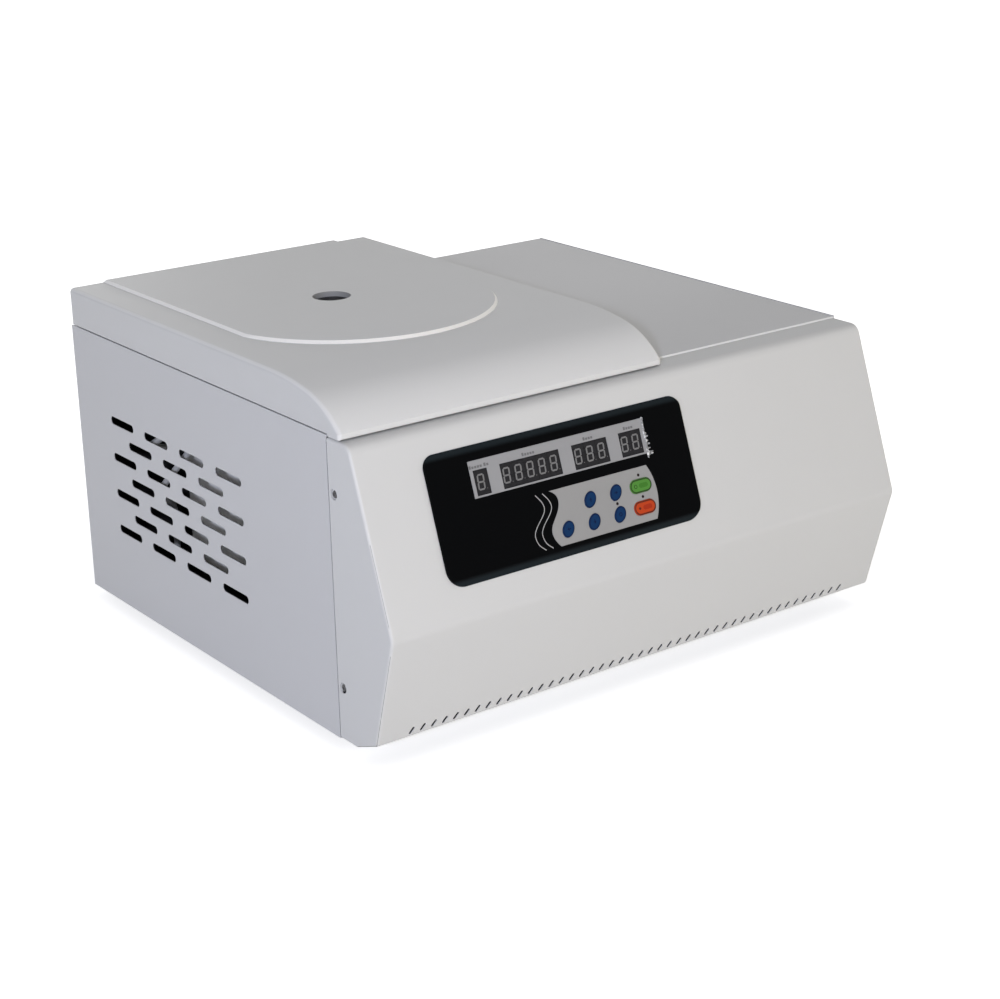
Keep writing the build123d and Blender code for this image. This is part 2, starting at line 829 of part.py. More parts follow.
def lid_screws():
    screws = []
    for x, y in liner_screw_places():
        screw = post(x, y, liner_z - liner_lift / 2, liner_z, screw_head_radius)
        tip = liner_z + sheet + screw_length / 2
        screws.append(screw + post(x, y, liner_z, tip, screw_shank_radius - screw_gap))
    return screws


def window_ring():
    outer = window_radius - screw_gap
    inner = outer - window_wall
    low = liner_z + sheet
    top = lid_top + field_height - window_sink
    sleeve = ring(axis_x, axis_y, low, top, outer, inner)
    foot = ring(axis_x, axis_y, low, low + sheet, outer + 2 * window_wall, inner)
    ledge_top = top - window_thickness - screw_gap
    ledge = ring(axis_x, axis_y, ledge_top - sheet, ledge_top, outer, inner - window_wall)
    return sleeve + foot + ledge


def lid_window():
    top = lid_top + field_height - window_sink - screw_gap
    return post(axis_x, axis_y, top - window_thickness, top, window_radius - window_wall - 2 * screw_gap)


def lid_gasket():
    inner = bowl_radius + bowl_wall
    height = gasket_top - gasket_floor
    section = Pos(inner + gasket_width / 2, gasket_floor + height / 2)
    face = section * RectangleRounded(gasket_width, height, height / 3)
    return Pos(axis_x, axis_y, 0) * revolve(Plane.XZ * face, Axis.Z)


gasket_floor = deck_top + bowl_wall
gasket_top = liner_z - gasket_gap

# Hinges: two alike, each with a fixed bracket, a lid leaf and a pin

hinge_y = back + rear_reach - hinge_barrel
hinge_z = lid_floor - hinge_barrel / 2
hinge_centres = [left + lid_width / 2 + side * hinge_spread for side in (-1, 1)]
knuckle = hinge_width / 3


def hinge_bore(x0, x1):
    return rod_x(x0, x1, hinge_y, hinge_z, hinge_pin_radius + hinge_fit)


def hinge_bracket(x):
    x0 = x - hinge_width / 2
    x1 = x + hinge_width / 2
    low = hinge_z - hinge_fixed_drop
    bracket = box(x0, x1, back, back + hinge_leaf, low, hinge_z - hinge_barrel - knuckle_gap)
    for a, b in ((x0, x0 + knuckle - knuckle_gap), (x1 - knuckle + knuckle_gap, x1)):
        bracket += rod_x(a, b, hinge_y, hinge_z, hinge_barrel)
        bracket += box(a, b, back, hinge_y, hinge_z - hinge_barrel - knuckle_gap - sheet, hinge_z)
    return bracket - hinge_bore(x0, x1)


def hinge_leaf_solid(x):
    a = x - knuckle / 2
    b = x + knuckle / 2
    leaf = rod_x(a, b, hinge_y, hinge_z, hinge_barrel)
    leaf += box(a, b, back, hinge_y, hinge_z, hinge_z + hinge_barrel)
    leaf += box(x - hinge_width / 2, x + hinge_width / 2, back, back + hinge_leaf,
                hinge_z + hinge_barrel, hinge_z + hinge_lid_rise)
    return leaf - hinge_bore(a - knuckle_gap, b + knuckle_gap)


def hinge_pin(x):
    return rod_x(x - hinge_width / 2, x + hinge_width / 2, hinge_y, hinge_z, hinge_pin_radius)


# Chamber

def cup(radius, z0, z1, rounding):
    body = post(axis_x, axis_y, z0, z1, radius)
    return fillet(body.edges().group_by(Axis.Z)[0], rounding)


def chamber_bowl():
    floor_z = base_z + bowl_floor
    bowl = cup(bowl_radius + bowl_wall, floor_z - bowl_wall, deck_top, bowl_round + bowl_wall)
    bowl += post(axis_x, axis_y, deck_top, deck_top + bowl_wall, bowl_radius + bowl_rim)
    bowl -= cup(bowl_radius, floor_z, deck_top + 2 * bowl_wall, bowl_round)
    return bowl - post(axis_x, axis_y, floor_z - 2 * bowl_wall, floor_z + bowl_wall, neck_radius + fit_gap)


coil_ring = bowl_radius + bowl_wall + coil_gap + coil_radius
coil_floor = base_z + bowl_floor + bowl_round + coil_radius


def evaporator_coil():
    coil = Part()
    coil_rings = int((deck_under - coil_head - coil_floor) / coil_pitch) + 1
    for number in range(coil_rings):
        coil += Pos(axis_x, axis_y, coil_floor + number * coil_pitch) * Torus(coil_ring, coil_radius)
    top = coil_floor + (coil_rings - 1) * coil_pitch
    return coil + post(axis_x + coil_ring, axis_y, coil_floor, top, riser_radius)


def chamber_insulation():
    low = base_z + drum_floor + drum_wall
    outer = drum_radius - drum_wall - foam_gap
    inner = coil_ring + coil_radius + foam_gap
    foam = post(axis_x, axis_y, low, deck_under, outer)
    floor_z = base_z + bowl_floor - bowl_wall
    foam -= post(axis_x, axis_y, floor_z, deck_under, inner)
    return foam - post(axis_x, axis_y, low, floor_z, motor_radius + foam_gap)


def chamber_drum():
    low = base_z + drum_floor
    drum = post(axis_x, axis_y, low, deck_under, drum_radius)
    drum -= post(axis_x, axis_y, low + drum_wall, deck_under, drum_radius - drum_wall)
    return drum - post(axis_x, axis_y, low, low + drum_wall, motor_radius + foam_gap)


# Drive

def motor_mount():
    half = mount_side / 2
    low = base_z + mount_floor
    plate = block(axis_x, axis_y, half, half, low, low + mount_plate)
    return plate - post(axis_x, axis_y, low, low + mount_plate, motor_radius + fit_gap)


def motor_dampers():
    reach = mount_side / 2 - damper_inset
    return [
        post(axis_x + sx * reach, axis_y + sy * reach, base_z + sheet, base_z + mount_floor, damper_radius)
        for sx in (-1, 1)
        for sy in (-1, 1)
    ]


bearing_radius = motor_bore - bearing_seat_wall


def motor_housing():
    low = base_z + motor_floor
    top = base_z + motor_top
    seat = base_z + mount_floor + mount_plate
    body = post(axis_x, axis_y, low, top, motor_radius)
    body += post(axis_x, axis_y, seat, seat + mount_plate, motor_flange_radius)
    body += post(axis_x, axis_y, top, base_z + neck_top, neck_radius)
    return body - post(axis_x, axis_y, low + bearing_height / 2, base_z + neck_top, motor_bore)


def motor_bearings():
    lower = base_z + motor_floor + bearing_height / 2
    upper = base_z + neck_top - bearing_height
    return [
        ring(axis_x, axis_y, z, z + bearing_height, bearing_radius, shaft_radius + bearing_fit)
        for z in (lower, upper)
    ]


rotor_z = base_z + rotor_height
hub_top = rotor_z + yoke_rail_half_height + hub_rise
stud_top = hub_top + nut_height - sheet


def motor_shaft():
    low = base_z + motor_floor + bearing_height
    shaft = post(axis_x, axis_y, low, rotor_z, shaft_radius)
    return shaft + post(axis_x, axis_y, rotor_z, stud_top, stud_radius)


# Rotor: an H-shaped yoke, two carriers hung from its trunnions

def rotor_yoke():
    half = yoke_half_width
    rise = yoke_rail_half_height
    yoke = block(axis_x, axis_y, half, crossbar_half, rotor_z - rise, rotor_z + rise)
    for side in (-1, 1):
        x = axis_x + side * (half - yoke_rail / 2)
        rail = block(x, axis_y, yoke_rail / 2, yoke_rail_reach, rotor_z - rise, rotor_z + rise)
        yoke += fillet(rail.edges().filter_by(Axis.X), rise / 2)
    yoke += post(axis_x, axis_y, rotor_z - hub_drop, hub_top, hub_radius)
    yoke -= post(axis_x, axis_y, rotor_z - hub_drop, rotor_z, shaft_radius + hinge_fit)
    yoke -= post(axis_x, axis_y, rotor_z, hub_top, stud_radius + hinge_fit)
    for side in (-1, 1):
        yoke -= rod_x(axis_x - half, axis_x + half, axis_y + side * swing_radius, rotor_z, trunnion_radius)
    return yoke


def rotor_nut():
    nut = post(axis_x, axis_y, hub_top, hub_top + nut_height, nut_radius)
    nut = fillet(nut.edges().group_by(Axis.Z)[-1], nut_radius / 4)
    return nut - post(axis_x, axis_y, hub_top, stud_top, stud_radius + hinge_fit)


pocket_half_x = plate_length / 2 + plate_gap
carrier_half_x = pocket_half_x + carrier_wall
pocket_half_y = plate_width / 2 + plate_gap
carrier_half_y = pocket_half_y + carrier_wall


def trunnion_pins():
    pins = []
    for side in (-1, 1):
        y = axis_y + side * swing_radius
        for face in (-1, 1):
            tip = axis_x + face * (pocket_half_x + screw_gap)
            root = axis_x + face * yoke_half_width
            pins.append(rod_x(min(tip, root), max(tip, root), y, rotor_z, trunnion_radius))
    return pins


def plate_carrier(side):
    y = axis_y + side * swing_radius
    low = rotor_z - carrier_drop
    rim = low + carrier_wall + carrier_skirt
    outline = RectangleRounded(2 * carrier_half_x, 2 * carrier_half_y, carrier_round)
    tray = Pos(axis_x, y, low) * extrude(outline, rim - low)
    tray -= block(axis_x, y, pocket_half_x, pocket_half_y, low + carrier_wall, rim)
    shoulder = carrier_half_y - carrier_round
    foot = carrier_wall - carrier_drop
    ear_outline = Polyline(
        (-shoulder, rim - rotor_z),
        (-ear_radius, 0),
        (ear_radius, 0),
        (shoulder, rim - rotor_z),
        (shoulder, foot),
        (-shoulder, foot),
        close=True)
    ear = make_face(ear_outline) + Circle(ear_radius)
    ear -= Circle(trunnion_radius + trunnion_fit)
    for face in (-1, 1):
        inner = axis_x + face * pocket_half_x
        outer = axis_x + face * carrier_half_x
        tray += prism_x(Pos(y, rotor_z) * ear, min(inner, outer), max(inner, outer))
    return tray


# Lid lock: a tongue on the lid, and a solenoid bolt that passes through it

striker_low = liner_z - sheet - striker_drop
bolt_z = striker_low + 3 * bolt_radius
frame_half_y = striker_thickness / 2 + lock_gap
frame_out_y = frame_half_y + lock_wall
frame_half_x = striker_width / 2 + lock_gap
frame_low = bolt_z - lock_height / 2
frame_high = bolt_z + lock_height / 2


def lid_striker():
    half = striker_width / 2
    thick = striker_thickness / 2
    base = block(axis_x, striker_y, striker_base / 2, 3 * thick, liner_z - sheet, liner_z)
    tongue = block(axis_x, striker_y, half, thick, striker_low, liner_z - sheet)
    hole = rod_y(axis_x, striker_y - 2 * thick, striker_y + 2 * thick, bolt_z, bolt_radius + eye_gap)
    return base + tongue - hole


def lock_frame():
    frame = block(axis_x, striker_y, frame_half_x + lock_wall, frame_out_y, frame_low, frame_high)
    frame -= block(axis_x, striker_y, frame_half_x, frame_half_y, striker_low - lock_gap, frame_high)
    frame -= rod_y(axis_x, striker_y - frame_out_y, striker_y + frame_out_y, bolt_z, bolt_radius + bolt_fit)
    for side in (-1, 1):
        x = axis_x + side * (frame_half_x + lock_wall / 2)
        frame += block(x, striker_y, lock_wall / 2, frame_out_y, frame_high, deck_under)
    return frame


bolt_tip = striker_y - frame_half_y - bolt_fit
solenoid_front = striker_y - frame_out_y - solenoid_length


def lock_bolt():
    return rod_y(axis_x, solenoid_front + bolt_travel, bolt_tip, bolt_z, bolt_radius)


def lock_solenoid():
    half = solenoid_side / 2
    rear = striker_y - frame_out_y
    coil = box(axis_x - half, axis_x + half, solenoid_front, rear, bolt_z - half, bolt_z + half)
    return coil - rod_y(axis_x, solenoid_front + lock_wall, rear, bolt_z, bolt_radius + bolt_fit)


# Cooling

pump_x = right - sheet - compressor_side_gap - compressor_radius - foot_radius
pump_y = seam + compressor_y
pump_floor = base_z + sheet + compressor_foot
pump_top = pump_floor + compressor_height


def compressor():
    shell = post(pump_x, pump_y, pump_floor, pump_top, compressor_radius)
    shell = fillet(shell.edges().group_by(Axis.Z)[-1], compressor_round)
    seam_z = pump_floor + compressor_height / 2
    shell += post(pump_x, pump_y, seam_z, seam_z + 2 * sheet, compressor_radius + 2 * sheet)
    half = compressor_radius + foot_radius
    shell += block(pump_x, pump_y, half, half, pump_floor, pump_floor + 2 * sheet)
    reach = half - foot_radius
    for x in (pump_x - reach, pump_x + reach):
        for y in (pump_y - reach, pump_y + reach):
            shell += post(x, y, base_z + sheet, pump_floor, foot_radius / 2)
    return shell


shroud_back = back - sheet
shroud_front = shroud_back - shroud_depth
condenser_back = shroud_front
condenser_front = condenser_back - condenser_depth
condenser_z0 = base_z + condenser_floor
condenser_z1 = condenser_z0 + condenser_height


def condenser():
    pitch = (condenser_width - fin_thickness) / (fin_count - 1)
    block = Part()
    for number in range(fin_count):
        x = condenser_x0 + number * pitch
        block += box(x, x + fin_thickness, condenser_front, condenser_back, condenser_z0, condenser_z1)
    rise = condenser_height / condenser_rows
    for row in range(condenser_rows):
        z = condenser_z0 + (row + 0.5) * rise
        for y in (condenser_front + condenser_depth / 4, condenser_back - condenser_depth / 4):
            block += rod_x(condenser_x0, condenser_x1, y, z, condenser_tube)
    for x in (condenser_x0, condenser_x1 - 2 * fin_thickness):
        block += box(x, x + 2 * fin_thickness, condenser_front, condenser_back, base_z + sheet, condenser_z0)
    return block


fan_back = shroud_back - fan_gap
fan_front = fan_back - fan_hub_depth
fan_motor_back = fan_front - screw_gap


def fan_shroud():
    body = box(condenser_x0, condenser_x1, shroud_front, shroud_back, condenser_z0, condenser_z1)
    body -= rod_y(fan_x, shroud_front, shroud_back, fan_z, fan_radius + fan_gap)
    arms = Part()
    for turn in (0, 90):
        arms += Pos(fan_x, shroud_front + shroud_wall / 2, fan_z) * Rot(0, turn, 0) * Box(
            condenser_width, shroud_wall, arm_width)
    body += arms
    return body


def fan_motor():
    front = shroud_front + shroud_wall
    motor = rod_y(fan_x, front, fan_motor_back, fan_z, fan_motor_radius)
    return motor - rod_y(fan_x, front + shroud_wall, fan_motor_back, fan_z, fan_shaft_radius + hinge_fit)


def fan_blades():
    fan = rod_y(fan_x, fan_front, fan_back, fan_z, fan_hub_radius)
    reach = fan_radius - fan_hub_radius + sheet
    middle = (fan_radius + fan_hub_radius - sheet) / 2
    chord = fan_hub_depth / math.sin(math.radians(blade_pitch)) - 2 * blade_thickness
    blade = Pos(0, 0, middle) * Rot(0, 0, blade_pitch) * Box(chord, blade_thickness, reach)
    envelope = rod_y(0, -fan_hub_depth / 2, fan_hub_depth / 2, 0, fan_radius)
    blade &= envelope
    for number in range(fan_blades_count):
        turn = Rot(0, 360 * number / fan_blades_count, 0)
        fan += Pos(fan_x, (fan_front + fan_back) / 2, fan_z) * turn * blade
    stub = shroud_front + 3 * shroud_wall
    return fan + rod_y(fan_x, stub, fan_front, fan_z, fan_shaft_radius)


def pipe(*points, bend=pipe_bend):
    path = FilletPolyline(*points, radius=bend)
    start = Plane(origin=path @ 0, z_dir=path % 0)
    return sweep(start * Circle(pipe_radius), path=path)


def liquid_line():
    # rises behind the side slots, turns back and enters the drum square to its wall
    line_x = left + sheet + line_gap + pipe_radius
    foot = (axis_x + line_foot[0], axis_y + line_foot[1])
    points = [(*foot, base_z + sheet), (*foot, base_z + line_foot_height)]
    points += [(line_x, axis_y + behind, base_z + above) for behind, above in line_route]
    turn = math.radians(line_inlet_turn)
    inlet_z = points[-1][2] - line_inlet_drop
    for radius in (drum_radius + line_inlet_reach, drum_radius):
        points.append((axis_x - radius * math.cos(turn), axis_y + radius * math.sin(turn), inlet_z))
    return pipe(*points, bend=line_bend)


def refrigerant_pipes():
    drum_x = axis_x + drum_radius
    hot_z = pump_top - compressor_height / 4
    hot_y = condenser_front + condenser_depth / 4
    side_x = pump_x + compressor_radius
    riser_x = condenser_x1 + pipe_radius + sheet
    hot = pipe((side_x, pump_y, hot_z), (riser_x, pump_y, hot_z), (riser_x, hot_y, hot_z - pipe_bend),
               (riser_x, hot_y, condenser_z1 - condenser_height / 12))
    cold_z = base_z + bowl_floor + pipe_bend
    port_y = pump_y + compressor_radius
    cold = pipe((drum_x, axis_y, cold_z), (pump_x, axis_y, cold_z), (pump_x, port_y, cold_z))
    return [hot, cold, liquid_line()]


# Power inlet

def power_inlet():
    w = inlet_width
    h = inlet_height
    low = module_z - h / 2
    plate = block(module_x, back + inlet_plate / 2, w / 2, inlet_plate / 2, low, low + h)
    x = w / 2 - inlet_plate
    z = h / 2 - inlet_plate
    plate += box(module_x - x, module_x + x, back - inlet_body_depth, back, module_z - z, module_z + z)
    socket_z = module_z - socket_drop
    face = back + inlet_plate
    plate -= box(module_x - socket_width / 2, module_x + socket_width / 2, face - socket_depth, face,
                 socket_z - socket_height / 2, socket_z + socket_height / 2)
    rocker_z = module_z + rocker_lift
    half_w = rocker_width / 2 + rocker_gap
    half_h = rocker_height / 2 + rocker_gap
    plate -= box(module_x - half_w, module_x + half_w, face - rocker_height, face,
                 rocker_z - half_h, rocker_z + half_h)
    reach = half_w + rocker_pin_length
    pivot_y = face - rocker_height / 2
    return plate - rod_x(module_x - reach, module_x + reach, pivot_y, rocker_z, rocker_pin + hinge_fit)


def inlet_pins():
    floor_y = back + inlet_plate - socket_depth
    pins = []
    for column in (-1, 0, 1):
        x = module_x + column * pin_spread
        z = module_z - socket_drop + (pin_height / 2 if column == 0 else -pin_height / 4)
        pins.append(box(x - pin_width / 2, x + pin_width / 2, floor_y, floor_y + pin_length - pin_width,
                        z - pin_height / 2, z + pin_height / 2))
    return pins


def power_rocker():
    pivot_y = back + inlet_plate - rocker_height / 2
    half_w = rocker_width / 2
    reach = rocker_height / 2 + sheet
    half_h = rocker_height / 2 - reach * math.sin(math.radians(rocker_tilt))
    outline = Polyline(
        (-half_h + rocker_taper, 0),
        (-half_h, reach - sheet),
        (0, reach - 2 * sheet),
        (half_h, reach - sheet),
        (half_h - rocker_taper, 0),
        (0, -half_h),
        close=True)
    body = extrude(Plane.YZ * make_face(outline).rotate(Axis.Z, -90), half_w, both=True)
    pivot = half_w + rocker_gap + rocker_pin_length - screw_gap
    body += rod_x(-pivot, pivot, 0, 0, rocker_pin)
    return Pos(module_x, pivot_y, module_z + rocker_lift) * Rot(-rocker_tilt, 0, 0) * body


def control_board():
    x0 = right - sheet - control_side_gap - control_width
    y0 = seam + control_front
    z0 = base_z + sheet
    top = z0 + standoff + board_thickness
    board = box(x0, x0 + control_width, y0, y0 + control_depth, z0 + standoff, top)
    for x in (x0 + standoff, x0 + control_width - standoff):
        for y in (y0 + standoff, y0 + control_depth - standoff):
            board += post(x, y, z0, z0 + standoff, standoff / 2)
    middle = y0 + control_depth / 2
    sink_x = x0 + 2.5 * standoff
    board += block(sink_x, middle, standoff, standoff, top, top + 3 * standoff)
    for number in range(capacitor_count):
        x = x0 + control_width - 2 * standoff - number * capacitor_pitch
        board += post(x, middle, top, top + capacitor_height, capacitor_radius)
    return board


add("base_pan", base_pan())
add("left_side_panel", side_panel(-1))
add("right_side_panel", side_panel(1))
add("rear_panel", rear_panel())
add("rear_panel_screws", *rear_screws())
add("right_top_cover", top_cover())
add("chamber_deck", chamber_deck())
add("rubber_feet", *feet())
add("front_bezel", front_bezel())
add("bezel_side_screws", *side_screws())
add("control_panel", control_panel())
add("display_strip", display_strip())
add("digit_modules", *digit_modules())
add("keypad_overlay", keypad_overlay())
for key_name in key_places:
    add(key_name, key(key_name))
add("indicator_lamps", *lamps())
add("display_board", display_board())
add("lid_shell", lid_shell())
add("lid_liner", lid_liner())
add("lid_screws", *lid_screws())
add("window_ring", window_ring())
add("lid_window", lid_window())
add("chamber_gasket", lid_gasket())
add("hinge_brackets", *[hinge_bracket(x) for x in hinge_centres])
add("hinge_leaves", *[hinge_leaf_solid(x) for x in hinge_centres])
add("hinge_pins", *[hinge_pin(x) for x in hinge_centres])
add("chamber_bowl", chamber_bowl())
add("evaporator_coil", evaporator_coil())
add("chamber_insulation", chamber_insulation())
add("chamber_drum", chamber_drum())
add("motor_mount", motor_mount())
add("motor_dampers", *motor_dampers())
add("motor_housing", motor_housing())
add("motor_bearings", *motor_bearings())
add("motor_shaft", motor_shaft())
add("rotor_yoke", rotor_yoke())
add("rotor_nut", rotor_nut())
add("trunnion_pins", *trunnion_pins())
add("front_plate_carrier", plate_carrier(-1))
add("rear_plate_carrier", plate_carrier(1))
add("lid_striker", lid_striker())
add("lock_frame", lock_frame())
add("lock_bolt", lock_bolt())
add("lock_solenoid", lock_solenoid())
add("compressor", compressor())
add("condenser", condenser())
add("fan_shroud", fan_shroud())
add("fan_motor", fan_motor())
add("fan_blades", fan_blades())
add("refrigerant_pipes", *refrigerant_pipes())
add("power_inlet", power_inlet())
add("inlet_pins", *inlet_pins())
add("power_rocker", power_rocker())
add("control_board", control_board())

os.makedirs("parts", exist_ok=True)
for part_name, shape in parts.items():
    export_step(shape, f"parts/{part_name}.step")
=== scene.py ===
import bpy
import bmesh
import json
import math
import random
from mathutils import Matrix, Vector


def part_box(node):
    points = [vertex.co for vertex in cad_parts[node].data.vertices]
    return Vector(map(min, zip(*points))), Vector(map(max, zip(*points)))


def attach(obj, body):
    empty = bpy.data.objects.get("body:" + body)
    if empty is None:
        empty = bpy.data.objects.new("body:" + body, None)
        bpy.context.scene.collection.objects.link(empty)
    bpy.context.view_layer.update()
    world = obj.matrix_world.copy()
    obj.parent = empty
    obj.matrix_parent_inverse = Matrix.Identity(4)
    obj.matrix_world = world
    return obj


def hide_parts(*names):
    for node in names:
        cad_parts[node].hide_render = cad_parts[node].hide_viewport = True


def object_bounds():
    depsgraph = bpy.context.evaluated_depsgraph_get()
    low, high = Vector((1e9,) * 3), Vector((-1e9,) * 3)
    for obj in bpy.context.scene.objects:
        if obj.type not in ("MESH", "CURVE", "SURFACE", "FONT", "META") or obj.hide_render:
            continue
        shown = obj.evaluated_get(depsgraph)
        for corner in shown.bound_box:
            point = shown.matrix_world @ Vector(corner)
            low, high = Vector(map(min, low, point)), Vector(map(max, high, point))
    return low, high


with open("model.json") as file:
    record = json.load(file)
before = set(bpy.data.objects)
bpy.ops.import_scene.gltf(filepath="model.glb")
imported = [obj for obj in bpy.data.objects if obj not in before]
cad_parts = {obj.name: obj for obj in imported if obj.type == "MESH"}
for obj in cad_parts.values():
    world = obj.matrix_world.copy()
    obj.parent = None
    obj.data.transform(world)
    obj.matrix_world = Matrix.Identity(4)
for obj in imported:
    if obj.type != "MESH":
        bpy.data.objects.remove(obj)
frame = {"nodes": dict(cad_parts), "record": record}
cadBox = [list(corner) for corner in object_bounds()]
nodes = frame["nodes"]
mm = 0.001
joinGap = 0.01 * mm          # points of a mesh closer than this are one
print("frame loaded,", len(nodes), "nodes")


# camera, lamps and floor

cameraValues = {
    "place": (-1.1933, -1.6558, 0.8357),
    "azimuth": -36.418,
    "elevation": 19.517,
    "roll": -1.224,
    "lens": 76.55,
}

lampValues = {
    # azimuth from the front towards the right, elevation, distance, size, watts, colour
    "front": (-3, -1, 3.6, 1.5, 43.6, (1.0, 0.895, 0.66)),
    "left": (-45.5, 18.5, 3.4, 0.2, 46.5, (0.79, 0.83, 1.0)),
    "above": (35, 60, 3.2, 1.8, 6.5, (1.0, 0.95, 0.86)),
    "behind": (172, 10, 3.4, 1.6, 9.5, (1.0, 1.0, 1.0)),
    "right": (96, 8, 3.4, 1.6, 10, (1.0, 1.0, 1.0)),
}

studioValues = {
    "floorSize": 14.0,
    "floorColour": (0.86, 0.86, 0.86),
    "glowNear": 0.66,        # seen only by the camera and in mirrors
    "glowFar": 1.0,
    "fadeStart": 0.32,       # from the middle of the floor, in metres
    "fadeEnd": 0.75,
    "sky": 0.28,             # light from all round, which the camera sees as white
}


def newObject(name, data):
    made = bpy.data.objects.new(name, data)
    bpy.context.scene.collection.objects.link(made)
    return made


def lengths(values, *keys):
    # these values, which are in millimetres, in metres
    return [values[key] * mm for key in keys]


def fromAngles(azimuth, elevation):
    a, e = math.radians(azimuth), math.radians(elevation)
    return Vector((math.sin(a) * math.cos(e), -math.cos(a) * math.cos(e), math.sin(e)))


def standing(place, direction):
    # a frame at a place, with Z along a direction
    return Matrix.Translation(place) @ direction.to_track_quat("Z", "Y").to_matrix().to_4x4()


def makeCamera(values):
    back = fromAngles(values["azimuth"], values["elevation"])
    a, r = math.radians(values["azimuth"]), math.radians(values["roll"])
    right = Vector((math.cos(a), math.sin(a), 0))
    up = back.cross(right)
    turnedRight = right * math.cos(r) + up * math.sin(r)
    turnedUp = up * math.cos(r) - right * math.sin(r)
    data = bpy.data.cameras.new("camera")
    data.lens = values["lens"]
    data.sensor_width = 36
    camera = newObject("camera", data)
    turn = Matrix((turnedRight, turnedUp, back)).transposed().to_4x4()
    camera.matrix_world = Matrix.Translation(values["place"]) @ turn
    bpy.context.scene.camera = camera


def makeLamp(name, values, target):
    azimuth, elevation, away, size, watts, colour = values
    data = bpy.data.lights.new(name, "AREA")
    data.shape = "SQUARE"
    data.size = size
    data.energy = watts
    data.color = colour
    towards = fromAngles(azimuth, elevation)
    newObject(name, data).matrix_world = standing(target + towards * away, towards)


makeCamera(cameraValues)
middle = (Vector(cadBox[0]) + Vector(cadBox[1])) / 2
for name, values in lampValues.items():
    makeLamp(name, values, middle)
bpy.context.scene.view_settings.view_transform = "Standard"
print("camera and lamps placed")


# a small way to write shader formulas

class Wire:
    # one output of a shader node, usable in formulas
    def __init__(self, mix, socket):
        self.mix = mix
        self.socket = socket

    def other(self, name):
        return Wire(self.mix, self.socket.node.outputs[name])

    def maths(self, operation, first, second=0.0):
        return self.mix.node("Math", {"operation": operation}, {0: first, 1: second})

    def __add__(self, other):
        return self.maths("ADD", self, other)

    def __radd__(self, other):
        return self.maths("ADD", other, self)

    def __sub__(self, other):
        return self.maths("SUBTRACT", self, other)

    def __rsub__(self, other):
        return self.maths("SUBTRACT", other, self)

    def __mul__(self, other):
        return self.maths("MULTIPLY", self, other)

    def __rmul__(self, other):
        return self.maths("MULTIPLY", other, self)

    def __gt__(self, other):
        return self.maths("GREATER_THAN", self, other)

    def __lt__(self, other):
        return self.maths("LESS_THAN", self, other)


class Mixture:
    # the nodes of a material or of the world, as they are written
    def __init__(self, owner):
        owner.use_nodes = True
        self.owner = owner
        self.tree = owner.node_tree
        self.tree.nodes.clear()

    def node(self, kind, settings=None, values=None, out=0):
        made = self.tree.nodes.new("ShaderNode" + kind)
        for key, value in (settings or {}).items():
            setattr(made, key, value)
        for key, value in (values or {}).items():
            if isinstance(value, Wire):
                self.tree.links.new(value.socket, made.inputs[key])
            else:
                made.inputs[key].default_value = value
        return Wire(self, made.outputs[out]) if made.outputs else None

    def place(self):
        return self.node("TexCoord", out="Object")

    def along(self, direction):
        # how far a point lies along a direction
        return self.node("VectorMath", {"operation": "DOT_PRODUCT"},
                         {0: self.place(), 1: direction}, out="Value")

    def noise(self, scale, detail=2.0, stretch=None, rough=0.5):
        where = self.place()
        if stretch:
            where = self.node("Mapping", None, {"Vector": where, "Scale": stretch})
        return self.node("TexNoise", None,
                         {"Vector": where, "Scale": scale, "Detail": detail, "Roughness": rough})

    def cells(self, scale):
        return self.node("TexVoronoi", None, {"Vector": self.place(), "Scale": scale})

    def facing(self, axis):
        # part of the surface's direction along one of the piece's own axes
        normal = self.node("TexCoord", out="Normal")
        return self.node("SeparateXYZ", None, {0: normal}, out=axis)

    def length(self, vector):
        return self.node("VectorMath", {"operation": "LENGTH"}, {0: vector}, out="Value")

    def looked(self):
        # above 0 for rays from the camera, mirrors and glass
        path = self.node("LightPath")
        return path.other("Is Camera Ray") + path.other("Is Glossy Ray") + path.other("Is Transmission Ray")

    def smooth(self, value, low, high):
        # 0 below low, 1 above high
        return self.node("MapRange", {"interpolation_type": "SMOOTHSTEP"},
                         {"Value": value, "From Min": low, "From Max": high})

    def vary(self, share, colour, dark, light):
        # from a darker to a lighter shade of a colour
        return self.blend(share, shade(colour, dark), shade(colour, light))

    def blend(self, share, first, second):
        return self.node("Mix", {"data_type": "RGBA"}, {0: share, 6: first, 7: second}, out=2)

    def bump(self, height, strength, distance):
        return self.node("Bump", None,
                         {"Height": height, "Strength": strength, "Distance": distance})

    def finish(self, tint, roughness, others):
        shader = self.node("BsdfPrincipled", None, {"Base Color": tint, "Roughness": roughness, **others})
        self.node("OutputMaterial", None, {"Surface": shader})
        return self.owner


def newMixture(name):
    return Mixture(bpy.data.materials.new(name))


def shade(colour, factor=1.0):
    return (*(min(1.0, part * factor) for part in colour), 1)


white = (1.0, 1.0, 1.0)


def makeFloor(values):
    half = values["floorSize"] / 2
    mesh = bpy.data.meshes.new("floor")
    corners = [(-half, -half, 0), (half, -half, 0), (half, half, 0), (-half, half, 0)]
    mesh.from_pydata(corners, [], [(0, 1, 2, 3)])
    floor = newObject("floor", mesh)
    mix = newMixture("studioFloor")
    fade = mix.smooth(mix.length(mix.place()), values["fadeStart"], values["fadeEnd"])
    glow = values["glowNear"] + fade * (values["glowFar"] - values["glowNear"])
    cloth = mix.node("BsdfDiffuse", None, {"Color": shade(values["floorColour"])})
    light = mix.node("Emission", None, {"Color": shade(white), "Strength": mix.looked() * glow})
    both = mix.node("AddShader", None, {0: cloth, 1: light})
    mix.node("OutputMaterial", None, {"Surface": both})
    mesh.materials.append(mix.owner)


